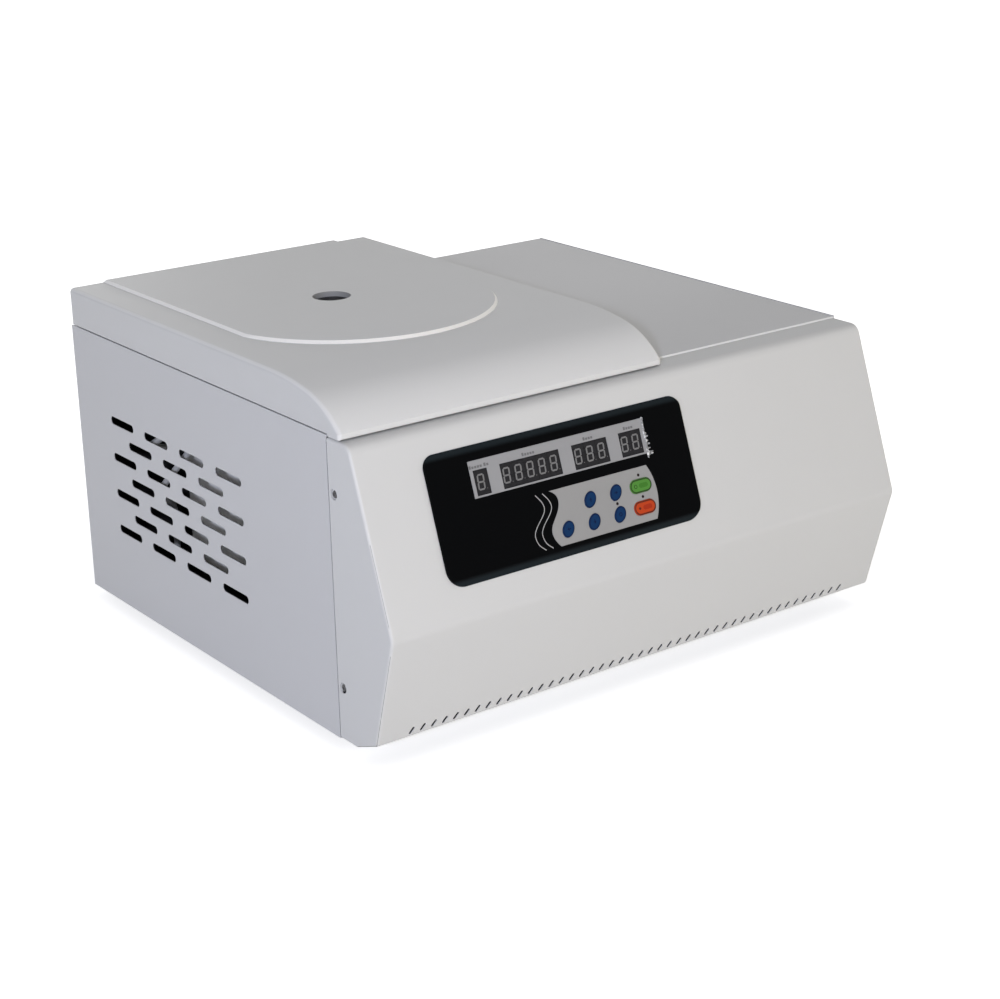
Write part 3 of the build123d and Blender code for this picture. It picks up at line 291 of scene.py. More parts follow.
def makeWorld(values):
    world = bpy.data.worlds.new("studio")
    bpy.context.scene.world = world
    mix = Mixture(world)
    seen = mix.looked() > 0.5
    strength = values["sky"] + seen * (1 - values["sky"])
    light = mix.node("Background", None, {"Color": shade(white), "Strength": strength})
    mix.node("OutputWorld", None, {"Surface": light})


makeFloor(studioValues)
makeWorld(studioValues)
print("studio ready")


# the sloping front's own frame: across, up the slope, outward

def outwardOf(node):
    face = max(nodes[node].data.polygons, key=lambda polygon: polygon.area)
    return face.normal.copy() if face.normal.y < 0 else -face.normal


across = Vector((1, 0, 0))
outward = outwardOf("display_strip").normalized()
upSlope = outward.cross(across)
slope = Matrix((across, upSlope, outward)).transposed()


def solidsOf(node):
    # the separate solids of a node, each as its points, in the order of its mesh
    shape = bmesh.new()
    shape.from_mesh(nodes[node].data)
    bmesh.ops.remove_doubles(shape, verts=shape.verts, dist=joinGap)
    seen = set()
    solids = []
    for start in shape.verts:
        reached = [] if start in seen else [start]
        seen.add(start)
        points = []
        while reached:
            vert = reached.pop()
            points.append(vert.co.copy())
            others = [edge.other_vert(vert) for edge in vert.link_edges]
            fresh = [other for other in others if other not in seen]
            seen.update(fresh)
            reached += fresh
        if points:
            solids.append(points)
    shape.free()
    return solids


def span(points, turn=Matrix.Identity(3)):
    # lowest and highest corner of some points, in a turned frame
    local = [turn.transposed() @ point for point in points]
    low = Vector(min(point[i] for point in local) for i in range(3))
    high = Vector(max(point[i] for point in local) for i in range(3))
    return low, high


def slopeSpan(node):
    return span([vert.co for vert in nodes[node].data.vertices], slope)


# finishes

coatValues = {
    "skin": 1100, "bump": 0.3, "depth": 0.05 * mm,
    "cloud": 6, "touch": 60, "touchDetail": 5, "touchRough": 0.7,
    "roughness": 0.40, "clouding": 0.07, "handling": 0.07, "lining": 0.4, "shades": (0.975, 1.02),
}
plasticValues = {
    "skin": 2400, "bump": 0.25, "depth": 0.03 * mm,
    "cloud": 5, "touch": 35, "touchDetail": 4, "touchRough": 0.65,
    "roughness": 0.36, "clouding": 0.07, "handling": 0.08, "lining": 0.3, "shades": (0.98, 1.015),
}


def handling(mix, values):
    return mix.noise(values["touch"], values["touchDetail"], rough=values["touchRough"])


def skinOf(mix, values, colour):
    # slow clouding, roughness and fine relief of a surface
    cloud = mix.noise(values["cloud"], 3)
    roughness = values["roughness"] + cloud * values["clouding"] + handling(mix, values) * values["handling"]
    relief = mix.bump(mix.noise(values["skin"], 2), values["bump"], values["depth"])
    return mix.vary(cloud, colour, *values["shades"]), roughness, {"Normal": relief}


def powderCoat(name, colour):
    # sprayed and baked coat: fine pebbled skin, faint clouding
    mix = newMixture(name)
    return mix.finish(*skinOf(mix, coatValues, colour))


def moulding(name, colour, roughness=0.36):
    # satin moulded plastic: very fine texture, slow change of gloss from handling
    mix = newMixture(name)
    return mix.finish(*skinOf(mix, {**plasticValues, "roughness": roughness}, colour))


def darkInsideSkin(name, colour, values, lining, levels, topShade=None):
    # a skin coloured near black inside, which is where a point lies below every level; in the bezel this near
    # black is painted shade, and topShade darkens faces that look up, also painted shade
    mix = newMixture(name)
    tint, roughness, relief = skinOf(mix, values, colour)
    if topShade:
        # painted shade: faces that look up are darker
        tint = mix.blend(mix.smooth(mix.facing("Z"), 0.6, 0.99), tint, shade(colour, topShade))
    inside = 1.0
    for direction, level in levels:
        inside = (mix.along(direction) < level) * inside
    # near black inside, painted shade in the bezel
    tint = mix.blend(inside, tint, mix.vary(handling(mix, values), lining, 0.7, 1.3))
    return mix.finish(tint, roughness + inside * values["lining"], relief)


def lidMoulding(name, values, stepLow, stepHigh, x, y, radius):
    # satin plastic with painted light: lighter down the front, painted highlights on the field's step and on
    # edges that face half sideways, and darker on the wall of the window's hole
    mix = newMixture(name)
    colour = values["colour"]
    plain, roughness, relief = skinOf(mix, plasticValues, colour)
    front = mix.smooth(0 - mix.facing("Y"), 0.05, 0.6)
    sideways = mix.node("Math", {"operation": "ABSOLUTE"}, {0: mix.facing("X")})
    edge = mix.smooth(sideways, 0.2, 0.5) * (1 - mix.smooth(sideways, 0.8, 0.97))
    height = mix.along((0, 0, 1))
    step = (height > stepLow) * (height < stepHigh)
    flat = mix.node("VectorMath", {"operation": "MULTIPLY_ADD"},
                    {0: mix.place(), 1: (1, 1, 0), 2: (-x, -y, 0)})
    hole = mix.length(flat) < radius
    # painted light on the front, painted highlights on the edges and on the field's step
    tint = mix.blend(front, plain, shade(colour, values["frontPaintedLight"]))
    tint = mix.blend(edge, tint, shade(values["edge"]))
    tint = mix.blend(step, tint, shade(values["step"]))
    tint = mix.blend(hole, tint, shade(colour, values["holeShade"]))
    return mix.finish(tint, roughness, relief)


def paintedSheenCoat(name, values, frontY, rearY):
    # powder coat, with a painted sheen that makes it a little lighter towards the rear and a painted
    # highlight on the rounded front edge
    mix = newMixture(name)
    colour = values["frontColour"]
    roughness, relief = skinOf(mix, coatValues, colour)[1:]
    # painted sheen: lighter towards the rear
    fade = mix.smooth(mix.along((0, 1, 0)), frontY, rearY)
    tint = mix.blend(fade, shade(colour), shade(values["rearSheenColour"]))
    tint = mix.blend(mix.noise(coatValues["cloud"], 3) * 0.05, tint, shade(colour, 0.8))
    # painted highlight on the rounded front edge
    tint = mix.blend(mix.smooth(0 - mix.facing("Y"), 0.15, 0.4), tint, shade(values["paintedEdgeLight"]))
    return mix.finish(tint, roughness, relief)


def panelFace(name, colour, paintedEdgeLight, low, high):
    # black printed face, with painted sheen: a shade lighter on its sloping upper and lower edges
    mix = newMixture(name)
    up = mix.along(upSlope)
    softness = 4.5 * mm
    # painted sheen on the sloping upper and lower bands
    edges = mix.smooth(up, high, high + softness) + (1 - mix.smooth(up, low - softness, low))
    wipe = mix.noise(18, 6, stretch=(1, 1, 9), rough=0.7)
    dust = mix.noise(1400, 2) > 0.78
    face = mix.blend(edges, shade(colour), shade(paintedEdgeLight))
    tint = mix.blend(dust * 0.08, face, shade((0.08, 0.08, 0.085)))
    return mix.finish(tint, 0.20 + wipe * 0.22, {"Specular IOR Level": 0.02})


def printedFilm(name, colour, roughness=0.30, gloss=0.25):
    # polyester film, printed from behind: even colour under a fine matt texture
    mix = newMixture(name)
    tint = mix.vary(mix.noise(14, 3), colour, 0.96, 1.03)
    wear = mix.noise(70, 5, rough=0.7)
    weave = mix.bump(mix.noise(3000, 1), 0.15, 0.02 * mm)
    return mix.finish(tint, roughness + wear * 0.18, {"Specular IOR Level": gloss, "Normal": weave})


def darkLens(name, colour):
    # smoked plastic over the digits
    mix = newMixture(name)
    wipe = mix.noise(40, 5, stretch=(1, 1, 4), rough=0.7)
    return mix.finish(mix.vary(wipe, colour, 0.85, 1.2), 0.2 + wipe * 0.16, {"Specular IOR Level": 0.12})


def brushed(name, colour, stretch, roughness=0.28):
    # metal brushed or turned in one direction
    mix = newMixture(name)
    lines = mix.noise(60, 4, stretch=stretch, rough=0.65)
    stain = mix.noise(12, 3)
    return mix.finish(mix.vary(lines, colour, 0.86, 1.08), roughness + lines * 0.16 + stain * 0.08,
                      {"Metallic": 1.0, "Normal": mix.bump(lines, 0.3, 0.02 * mm)})


def zincPlate(name, colour, roughness=0.30):
    # bright plating with a faint spangle
    mix = newMixture(name)
    tint = mix.vary(mix.cells(260) * 1.2, colour, 0.88, 1.05)
    return mix.finish(tint, roughness + mix.noise(40, 4) * 0.18, {"Metallic": 1.0})


def coolingPipe(name, copper, sleeve, sleeveEdge):
    # tarnished copper; the run beside the left panel wears a light sleeve
    mix = newMixture(name)
    tarnish = mix.noise(30, 5, rough=0.7)
    metal = mix.blend(tarnish, shade(copper, 1.1), shade((0.32, 0.17, 0.10)))
    covered = mix.along((1, 0, 0)) < sleeveEdge
    tint = mix.blend(covered, metal, mix.vary(tarnish, sleeve, 0.9, 1.06))
    return mix.finish(tint, 0.24 + tarnish * 0.3 + covered * 0.25, {"Metallic": 1 - covered})


def castRubber(name, colour):
    # dull rubber with a dusty bloom
    mix = newMixture(name)
    bloom = mix.noise(30, 4)
    grain = mix.bump(mix.noise(1500, 3), 0.3, 0.08 * mm)
    return mix.finish(mix.vary(bloom, colour, 0.85, 1.3), 0.62 + bloom * 0.2, {"Normal": grain})


def blasted(name, colour):
    # blasted and anodised alloy, faintly sparkling
    mix = newMixture(name)
    grit = mix.noise(1900, 2)
    return mix.finish(mix.vary(mix.noise(22, 4), colour, 0.9, 1.08), 0.42 + grit * 0.16,
                      {"Metallic": 0.85, "Normal": mix.bump(grit, 0.3, 0.04 * mm)})


def rigidFoam(name, colour):
    # poured foam with open cells
    mix = newMixture(name)
    cells = mix.cells(420)
    return mix.finish(mix.vary(cells, colour, 0.8, 1.1), 0.85, {"Normal": mix.bump(cells, 0.6, 0.6 * mm)})


def circuitBoard(name, colour):
    # lacquered board with lighter tracks
    mix = newMixture(name)
    tracks = mix.node("TexBrick", {"offset": 0.5}, {
        "Vector": mix.place(), "Scale": 90.0, "Color1": shade(colour), "Color2": shade(colour, 1.3),
        "Mortar": shade(colour, 2.4), "Mortar Size": 0.03})
    grime = mix.noise(50, 4)
    return mix.finish(mix.blend(grime * 0.4, tracks, shade(colour, 0.6)), 0.35 + grime * 0.2, {})


def smokedGlass(name, colour):
    # thin tinted pane, slightly hazed
    mix = newMixture(name)
    haze = mix.noise(200, 4)
    return mix.finish(mix.vary(haze, colour, 0.94, 1.05), 0.03 + haze * 0.05,
                      {"Transmission Weight": 1.0, "IOR": 1.12, "Specular IOR Level": 0.12})


def clearFilm(name, colour):
    # thin crinkled film, with painted glints where it folds: lighter and less clear there
    mix = newMixture(name)
    folds = mix.noise(420, 3, stretch=(1, 0.5, 0.5), rough=0.6)
    # painted glint: lighter and less see-through on the folds
    bright = mix.smooth(folds, 0.46, 0.66)
    return mix.finish(mix.vary(bright, colour, 0.5, 1.1), 0.14 + folds * 0.15,
                      {"Alpha": 0.5 + bright * 0.45, "Specular IOR Level": 0.3})


def levelFaces(node, least):
    # heights of the large level upward faces of a node, lowest first
    areas = {}
    for polygon in nodes[node].data.polygons:
        if polygon.normal.z > 0.9999:
            height = round(polygon.center.z, 4)
            areas[height] = areas.get(height, 0) + polygon.area
    return sorted(height for height, area in areas.items() if area > least)


def outerLevel(node, direction):
    return max(vert.co.dot(direction) for vert in nodes[node].data.vertices)


offWhite = (0.70, 0.70, 0.692)
paleGrey = (0.655, 0.655, 0.662)

# the lid
lidValues = {
    "colour": (0.685, 0.685, 0.68),
    # painted highlight on edges that face half sideways
    "edge": (0.80, 0.797, 0.785),
    "step": (1.0, 0.985, 0.95),        # painted highlight round the raised field
    # painted light: how much lighter the front is
    "frontPaintedLight": 1.14,
    "holeShade": 0.52,
    "holeMargin": 2.8,                 # from the window's edge
    "stepFoot": 0.3,                   # left plain at the step's foot and top
    "stepTop": 0.1,
}
fieldLow, fieldHigh = levelFaces("lid_shell", 0.004)[-2:]
ringLow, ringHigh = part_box("lid_window")
lidFinish = lidMoulding("lidMoulding", lidValues, fieldLow + lidValues["stepFoot"] * mm,
                        fieldHigh - lidValues["stepTop"] * mm, (ringLow.x + ringHigh.x) / 2,
                        (ringLow.y + ringHigh.y) / 2,
                        (ringHigh.x - ringLow.x) / 2 + lidValues["holeMargin"] * mm)
print("raised field from", fieldLow, "to", fieldHigh)

# near-black colour inside the bezel, painted shade so that its vents look black; the slotted panels are near
# black inside too
darkInsideValues = {
    "colour": (0.012, 0.012, 0.013),
    "sheet": 0.75,           # depth at which the near-black inside begins, in panels and in the bezel
    "bezel": 0.8,
    "noseEnd": 2.5,
    "panelTop": 275,         # the near-black inside's top, above the base pan and above the bezel's foot
    "bezelTop": 200,
    "bezelRear": 5,
    "chinTilt": 0.28,        # how far the face below the nose looks down
    # painted shade on the bezel's faces that look up
    "topShade": 0.86,
}


def liesOnChin(normal):
    return normal.y < -0.8 and normal.z < -0.1 and abs(normal.x) < 0.01


def bezelLevels(values):
    low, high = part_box("front_bezel")
    normals = [polygon.normal for polygon in nodes["front_bezel"].data.polygons]
    chin = min(filter(liesOnChin, normals), key=lambda normal: abs(normal.z + values["chinTilt"])).copy()
    sides = (Vector((1, 0, 0)), Vector((-1, 0, 0)))
    levels = [(direction, outerLevel("front_bezel", direction) - values["bezel"] * mm)
              for direction in (outward, chin, *sides, Vector((0, 0, -1)))]
    levels += [((0, 0, 1), low.z + values["bezelTop"] * mm), ((0, 1, 0), high.y - values["bezelRear"] * mm)]
    for side in sides:
        # the rounded ends of the nose are outside too
        noseEnd = ((outward + chin).normalized() + side).normalized()
        levels.append((noseEnd, outerLevel("front_bezel", noseEnd) - values["noseEnd"] * mm))
    return levels


panelLow, panelHigh = slopeSpan("control_panel")
panelBevel = 7.5 * mm
finishes = {
    "cabinet_paint": powderCoat("paleCoat", paleGrey),
    "bezel_plastic": darkInsideSkin("bezelDarkInside", offWhite, plasticValues, darkInsideValues["colour"],
                               bezelLevels(darkInsideValues), darkInsideValues["topShade"]),
    "lid_plastic": lidFinish,
    "panel_black": panelFace("blackFace", (0.0022, 0.0024, 0.0028), (0.0145, 0.0195, 0.0225),
                             panelLow.y + panelBevel, panelHigh.y - panelBevel),
    "strip_grey": printedFilm("greyFilm", (0.35, 0.35, 0.36)),
    "digit_dark": darkLens("smokedLens", (0.0185, 0.018, 0.020)),
    "overlay_grey": printedFilm("keypadFilm", (0.354, 0.351, 0.349)),
    "key_blue": printedFilm("blueKey", (0.0035, 0.033, 0.112), gloss=0.1),
    "key_green": printedFilm("greenKey", (0.092, 0.285, 0.046), gloss=0.12),
    "key_orange": printedFilm("orangeKey", (0.56, 0.062, 0.014), gloss=0.12),
    "lamp_dark": darkLens("darkLamp", (0.02, 0.012, 0.012)),
    "board_green": circuitBoard("greenBoard", (0.01, 0.09, 0.03)),
    "zinc_steel": zincPlate("zincPlate", (0.62, 0.63, 0.64)),
    "stainless": brushed("brushedBowl", (0.72, 0.72, 0.73), (1, 1, 26)),
    "copper": coolingPipe("coolingPipe", (0.75, 0.42, 0.27), (0.80, 0.80, 0.80), -0.2),
    "foam": rigidFoam("rigidFoam", (0.78, 0.72, 0.55)),
    "rubber_black": castRubber("blackRubber", (0.02, 0.02, 0.02)),
    "rubber_grey": castRubber("greySeal", (0.22, 0.22, 0.23)),
    "drum_paint": powderCoat("drumCoat", (0.88, 0.88, 0.88)),
    "motor_paint": powderCoat("motorEnamel", (0.05, 0.055, 0.06)),
    "compressor_paint": powderCoat("blackEnamel", (0.012, 0.012, 0.012)),
    "alloy": brushed("turnedAlloy", (0.72, 0.73, 0.74), (9, 9, 1), 0.3),
    "carrier_alloy": blasted("blastedAlloy", (0.42, 0.44, 0.47)),
    "window_clear": smokedGlass("smokedWindow", (0.10, 0.105, 0.11)),
    "trim_grey": moulding("darkTrim", (0.05, 0.05, 0.052)),
    "inlet_black": moulding("blackMoulding", (0.015, 0.015, 0.016), 0.42),
    "pin_brass": zincPlate("nickelPin", (0.70, 0.66, 0.55)),
}
printFinishes = {
    "segments": printedFilm("digitSegments", (0.215, 0.213, 0.213), 0.24, 0.15),
    "divisions": darkLens("digitDivisions", (0.008, 0.008, 0.009)),
    "labels": printedFilm("greyPrint", (0.17, 0.17, 0.175)),
    "waves": printedFilm("whitePrint", (0.44, 0.44, 0.44)),
    "blueMark": printedFilm("darkBluePrint", (0.002, 0.012, 0.055), gloss=0.1),
    "greenMark": printedFilm("darkGreenPrint", (0.030, 0.060, 0.018), gloss=0.1),
    "greenLight": printedFilm("paleGreenPrint", (0.058, 0.205, 0.026), gloss=0.12),
    "orangeMark": printedFilm("brownPrint", (0.115, 0.024, 0.012), gloss=0.1),
    "orangeLight": printedFilm("redPrint", (0.42, 0.036, 0.010), gloss=0.12),
    "film": clearFilm("clearFilm", (0.90, 0.91, 0.92)),
    "screw": zincPlate("screwPlating", (0.60, 0.61, 0.62), 0.24),
    "blackScrew": zincPlate("blackenedScrew", (0.10, 0.10, 0.105), 0.22),
    "white": printedFilm("whiteMark", (0.78, 0.78, 0.78)),
}
slotOf = {part["node"]: part["material_slot"] for part in frame["record"]["subparts"]}
for name, node in nodes.items():
    node.data.materials.clear()
    node.data.materials.append(finishes[slotOf[name]])
# the base pan is near black: painted shade seen through the vents
nodes["base_pan"].data.materials[0] = powderCoat("panCoat", (0.05, 0.05, 0.052))


def darkenPanelInside(name, outside, values):
    # panels with air slots or a grille are dark inside
    levels = [(outside, outerLevel(name, outside) - values["sheet"] * mm),
              ((0, 0, 1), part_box("base_pan")[0].z + values["panelTop"] * mm)]
    nodes[name].data.materials[0] = darkInsideSkin(name + "Coat", paleGrey, coatValues, values["colour"], levels)


darkenPanelInside("left_side_panel", Vector((-1, 0, 0)), darkInsideValues)
darkenPanelInside("right_side_panel", Vector((1, 0, 0)), darkInsideValues)
darkenPanelInside("rear_panel", Vector((0, 1, 0)), darkInsideValues)
print("finishes given")


# edges of the sheet and moulded parts are slightly rounded

edgeValues = {
    "front_bezel": 0.8, "lid_shell": 0.6, "left_side_panel": 0.5, "right_side_panel": 0.5,
    "rear_panel": 0.4, "chamber_deck": 0.4, "control_panel": 0.25, "rubber_feet": 1.5,
    "power_inlet": 0.6, "rotor_yoke": 0.5, "front_plate_carrier": 0.3, "rear_plate_carrier": 0.3,
    "lid_liner": 0.3,
}
flatAngle = math.radians(0.3)         # faces that bend less than this are one
edgeAngle = math.radians(35)          # edges sharper than this are rounded


def roundEdges(piece, width):
    bevel = piece.modifiers.new("soft edges", "BEVEL")
    bevel.width = width * mm
    bevel.segments = 2
    bevel.limit_method = "ANGLE"
    bevel.angle_limit = edgeAngle
    flat = piece.modifiers.new("flat faces", "WEIGHTED_NORMAL")
    flat.mode = "FACE_AREA_WITH_ANGLE"
    flat.weight = 90


def softenEdges(name, width):
    weld = nodes[name].modifiers.new("join corners", "WELD")
    weld.merge_threshold = joinGap
    plain = nodes[name].modifiers.new("whole faces", "DECIMATE")
    plain.decimate_type = "DISSOLVE"
    plain.angle_limit = flatAngle
    roundEdges(nodes[name], width)


# small shapes

def newPiece(name, shape, material, body, turn=Matrix.Identity(4), smooth=None):
    # smooth: the angle in degrees up to which faces are shaded as one
    bmesh.ops.recalc_face_normals(shape, faces=shape.faces)
    mesh = asMesh(shape, name)
    mesh.materials.append(material)
    if smooth is not None:
        mesh.shade_smooth()
        mesh.set_sharp_from_angle(angle=math.radians(smooth))
    piece = newObject(name, mesh)
    piece.matrix_world = turn
    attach(piece, body)
    return piece


def asMesh(shape, name="rough"):
    mesh = bpy.data.meshes.new(name)
    shape.to_mesh(mesh)
    shape.free()
    return mesh


def addMesh(shape, mesh, turn):
    # moves a mesh into place and into the shape
    mesh.transform(turn)
    shape.from_mesh(mesh)
    bpy.data.meshes.remove(mesh)


def joinRings(shape, rings):
    # faces between closed rings of points, each with as many points
    for first, second in zip(rings, rings[1:]):
        for i in range(len(first)):
            j = (i + 1) % len(first)
            shape.faces.new((first[i], first[j], second[j], second[i]))


def plate(shape, outline, low, high):
    # a flat plate with this outline, between two heights
    bottom, top = [[shape.verts.new((x, y, z)) for x, y in outline] for z in (low, high)]
    shape.faces.new(top)
    shape.faces.new(bottom[::-1])
    joinRings(shape, [bottom, top])


def band(shape, inner, outer, low, high):
    # a flat ring between two outlines with as many points
    rings = [[shape.verts.new((x, y, z)) for x, y in outline]
             for outline, z in ((outer, low), (outer, high), (inner, high), (inner, low))]
    joinRings(shape, rings + rings[:1])


def lathe(shape, profile, count=40):
    # a turned shape round Z, closed at both ends
    turns = [2 * math.pi * i / count for i in range(count)]
    rings = [[shape.verts.new((radius * math.cos(a), radius * math.sin(a), z)) for a in turns]
             for radius, z in profile]
    joinRings(shape, rings)
    shape.faces.new(rings[0][::-1])
    shape.faces.new(rings[-1])


def ovalOutline(x, y, halfLength, halfWidth, lean=0.0, count=48):
    c, s = math.cos(lean), math.sin(lean)
    outline = []
    for i in range(count):
        a = 2 * math.pi * i / count
        u, v = halfLength * math.cos(a), halfWidth * math.sin(a)
        outline.append((x + u * c - v * s, y + u * s + v * c))
    return outline


def roundOutline(x, y, radius, count=48):
    return ovalOutline(x, y, radius, radius, count=count)


def slotOutline(x, y, halfLength, halfWidth, count=48):
    outline = []
    straight = halfLength - halfWidth
    for i in range(count):
        a = 2 * math.pi * (i + 0.5) / count
        end = straight if math.cos(a) > 0 else -straight
        outline.append((x + end + halfWidth * math.cos(a), y + halfWidth * math.sin(a)))
    return outline


def boxOutline(x, y, halfLength, halfWidth):
    corners = ((-1, -1), (1, -1), (1, 1), (-1, 1))
    return [(x + u * halfLength, y + v * halfWidth) for u, v in corners]


def turned(outline, x, y, angle):
    c, s = math.cos(angle), math.sin(angle)
    return [(x + (u - x) * c - (v - y) * s, y + (u - x) * s + (v - y) * c) for u, v in outline]


def slopePiece(name, shape, finish, body="cabinet", smooth=None):
    newPiece(name, shape, printFinishes[finish], body, slope.to_4x4(), smooth)


# display: digits, divisions and marks

digitValues = {
    "pitch": 12.9, "height": 14.2, "width": 7.6, "stroke": 1.45, "gap": 0.22, "slant": 4.0,
    "aside": -1.1, "above": 0.2, "dot": 0.38, "dotPlace": (5.7, -6.4),
    "rise": 0.12, "lineWidth": 0.45, "lineRise": 0.05,
}


def segmentOutline(x, y, length, stroke, upright):
    half, tip = length / 2, stroke / 2
    outline = [(-half, 0), (-half + tip, -tip), (half - tip, -tip),
               (half, 0), (half - tip, tip), (-half + tip, tip)]
    if upright:
        outline = [(-v, u) for u, v in outline]
    return [(x + u, y + v) for u, v in outline]


def digitOutlines(values):
    stroke, gap = values["stroke"], values["gap"]
    w = (values["width"] - stroke) / 2
    h = (values["height"] - stroke) / 2
    outlines = [segmentOutline(0, y, 2 * w - gap, stroke, False) for y in (-h, 0, h)]
    outlines += [segmentOutline(x, y, h - gap, stroke, True) for x in (-w, w) for y in (-h / 2, h / 2)]
    outlines.append(roundOutline(*values["dotPlace"], values["dot"], count=16))
    lean = math.tan(math.radians(values["slant"]))
    return [[(x + y * lean, y) for x, y in outline] for outline in outlines]


def digitBlocks():
    # each block of digits: its lowest and highest corner on the slope, and how many digits it holds
    for solid in solidsOf("digit_modules"):
        low, high = span(solid, slope)
        yield low, high, round((high.x - low.x) / mm / digitValues["pitch"])


def makeDigits(values):
    segments, divisions = bmesh.new(), bmesh.new()
    outlines = digitOutlines(values)
    line, lineRise, rise, aside, above = lengths(values, "lineWidth", "lineRise", "rise", "aside", "above")
    for low, high, count in digitBlocks():
        middleX, middleY, face = (low.x + high.x) / 2, (low.y + high.y) / 2, high.z
        halfX, halfY = (high.x - low.x) / 2, (high.y - low.y) / 2
        pitch = 2 * halfX / count
        for number in range(count):
            left = low.x + pitch * number
            x, y = left + pitch / 2 + aside, middleY + above
            for outline in outlines:
                plate(segments, [(x + u * mm, y + v * mm) for u, v in outline], face, face + rise)
            if number:
                plate(divisions, boxOutline(left, middleY, line / 2, halfY), face, face + lineRise)
        band(divisions, boxOutline(middleX, middleY, halfX - line, halfY - line),
             boxOutline(middleX, middleY, halfX, halfY), face, face + lineRise)
    slopePiece("digit_segments", segments, "segments")
    slopePiece("digit_divisions", divisions, "divisions")


labelValues = {
    "above": 1.7,            # over each digit block
    "length": 2.2,           # of a mark
    "height": 2.1,
    "first": 2.9,            # height of a row's first mark
    "pitch": 2.9,
    "rows": {1: (5, 2), 5: (5,), 3: (4,), 2: (4,)},      # marks in the rows over 1, 5, 3 and 2 digits
    "space": 1.3,
    "rise": 0.06,
}


def makeLabels(values):
    # rows of plain marks where each block's use would be printed
    shape = bmesh.new()
    face = slopeSpan("display_strip")[1].z
    length, height, first, pitch, space, above, rise = lengths(
        values, "length", "height", "first", "pitch", "space", "above", "rise")
    for low, high, count in digitBlocks():
        rows = values["rows"][count]
        x = (low.x + high.x - sum(rows) * pitch - space * (len(rows) - 1)) / 2
        for row in rows:
            for number in range(row):
                half = (height if number else first) / 2
                middle = high.y + above + half
                plate(shape, boxOutline(x + length / 2, middle, length / 2, half), face, face + rise)
                x += pitch
            x += space
    slopePiece("display_labels", shape, "labels")


makeDigits(digitValues)
makeLabels(labelValues)
print("display done")


# two thin waves beside the keypad

waveValues = {
    # from the overlay's upper left corner: across, down
    "points": ((-7.2, 0.6), (-1.2, 9.0), (-1.6, 17.0), (-12.6, 28.6), (-16.2, 35.2), (-14.2, 43.4),
               (-7.9, 49.6)),
    "shifts": (0.0, -7.9),
    "width": 0.78,
    "rise": 0.08,
    "steps": 10,
}


def smoothLine(points, steps):
    # a curve through the points
    ends = [points[0] * 2 - points[1], *points, points[-1] * 2 - points[-2]]
    line = []
    for a, b, c, d in zip(ends, ends[1:], ends[2:], ends[3:]):
        for step in range(steps):
            t = step / steps
            line.append(b + (c - a) * (t / 2) + (a * 2 - b * 5 + c * 4 - d) * (t * t / 2)
                        + (b * 3 - a - c * 3 + d) * (t * t * t / 2))
    return line + [points[-1]]


def cornerX(node, level, reach=0.4 * mm):
    # leftmost point of a node near a height on the slope
    local = [slope.transposed() @ vert.co for vert in nodes[node].data.vertices]
    return min(point.x for point in local if abs(point.y - level) < reach)


def makeWaves(values):
    shape = bmesh.new()
    face = slopeSpan("control_panel")[1].z
    top = slopeSpan("keypad_overlay")[1].y
    corner = Vector((cornerX("keypad_overlay", top), top))
    half = values["width"] * mm / 2
    for shift in values["shifts"]:
        points = [corner + Vector((x + shift, -y)) * mm for x, y in values["points"]]
        line = smoothLine(points, values["steps"])
        left, right = [], []
        for i, point in enumerate(line):
            along = (line[min(i + 1, len(line) - 1)] - line[max(i - 1, 0)]).normalized()
            aside = Vector((-along.y, along.x)) * half
            left.append(point + aside)
            right.append(point - aside)
        plate(shape, left + right[::-1], face, face + values["rise"] * mm)
    slopePiece("panel_waves", shape, "waves")


makeWaves(waveValues)


# keys: rims and marks

keyValues = {
    "marks": ("up", "right", "left", "down", "ring"),       # of the blue keys, in their order
    "lean": 38.0,
    "blueRim": 0.9,
    "barRim": 1.25,
    "inset": 0.05,
    "rise": 0.06,
    "markSize": 1.9,
    "arrowBack": 0.25,       # these are shares of a mark's size
    "arrowHalf": 0.85,
    "tail": (0.7, 0.45, 0.28),
    "ringHole": 0.55,
    "startHole": 0.65,
    "stopHalf": 0.6,
    "markAside": 0.52,       # and these of a bar key's half length and half height
    "barAside": 0.22,
    "bar": (0.42, 0.36),
}
arrowAngles = {"right": 0, "up": math.pi / 2, "left": math.pi, "down": -math.pi / 2}


def arrowOutlines(x, y, size, angle, values):
    back, half = size * values["arrowBack"], size * values["arrowHalf"]
    tailBack, tailLength, tailWidth = (size * part for part in values["tail"])
    head = [(x + size, y), (x - back, y + half), (x - back, y - half)]
    tail = boxOutline(x - tailBack, y, tailLength, tailWidth)
    return [turned(head, x, y, angle), turned(tail, x, y, angle)]


def keyTop(name, skin=0.05 * mm):
    # middle and half sizes of a key's top face, and its height on the slope
    high = slopeSpan(name)[1].z
    local = [slope.transposed() @ vert.co for vert in nodes[name].data.vertices]
    low, top = span([point for point in local if point.z > high - skin])
    return (low.x + top.x) / 2, (low.y + top.y) / 2, (top.x - low.x) / 2, (top.y - low.y) / 2, high


def ovalAxes(halfX, halfY, lean):
    # the two half axes of a leaning oval, from its half width and half height
    c, s = math.cos(lean) ** 2, math.sin(lean) ** 2
    long = (c * halfX ** 2 - s * halfY ** 2) / (c - s)
    short = (c * halfY ** 2 - s * halfX ** 2) / (c - s)
    return math.sqrt(abs(long)), math.sqrt(abs(short))


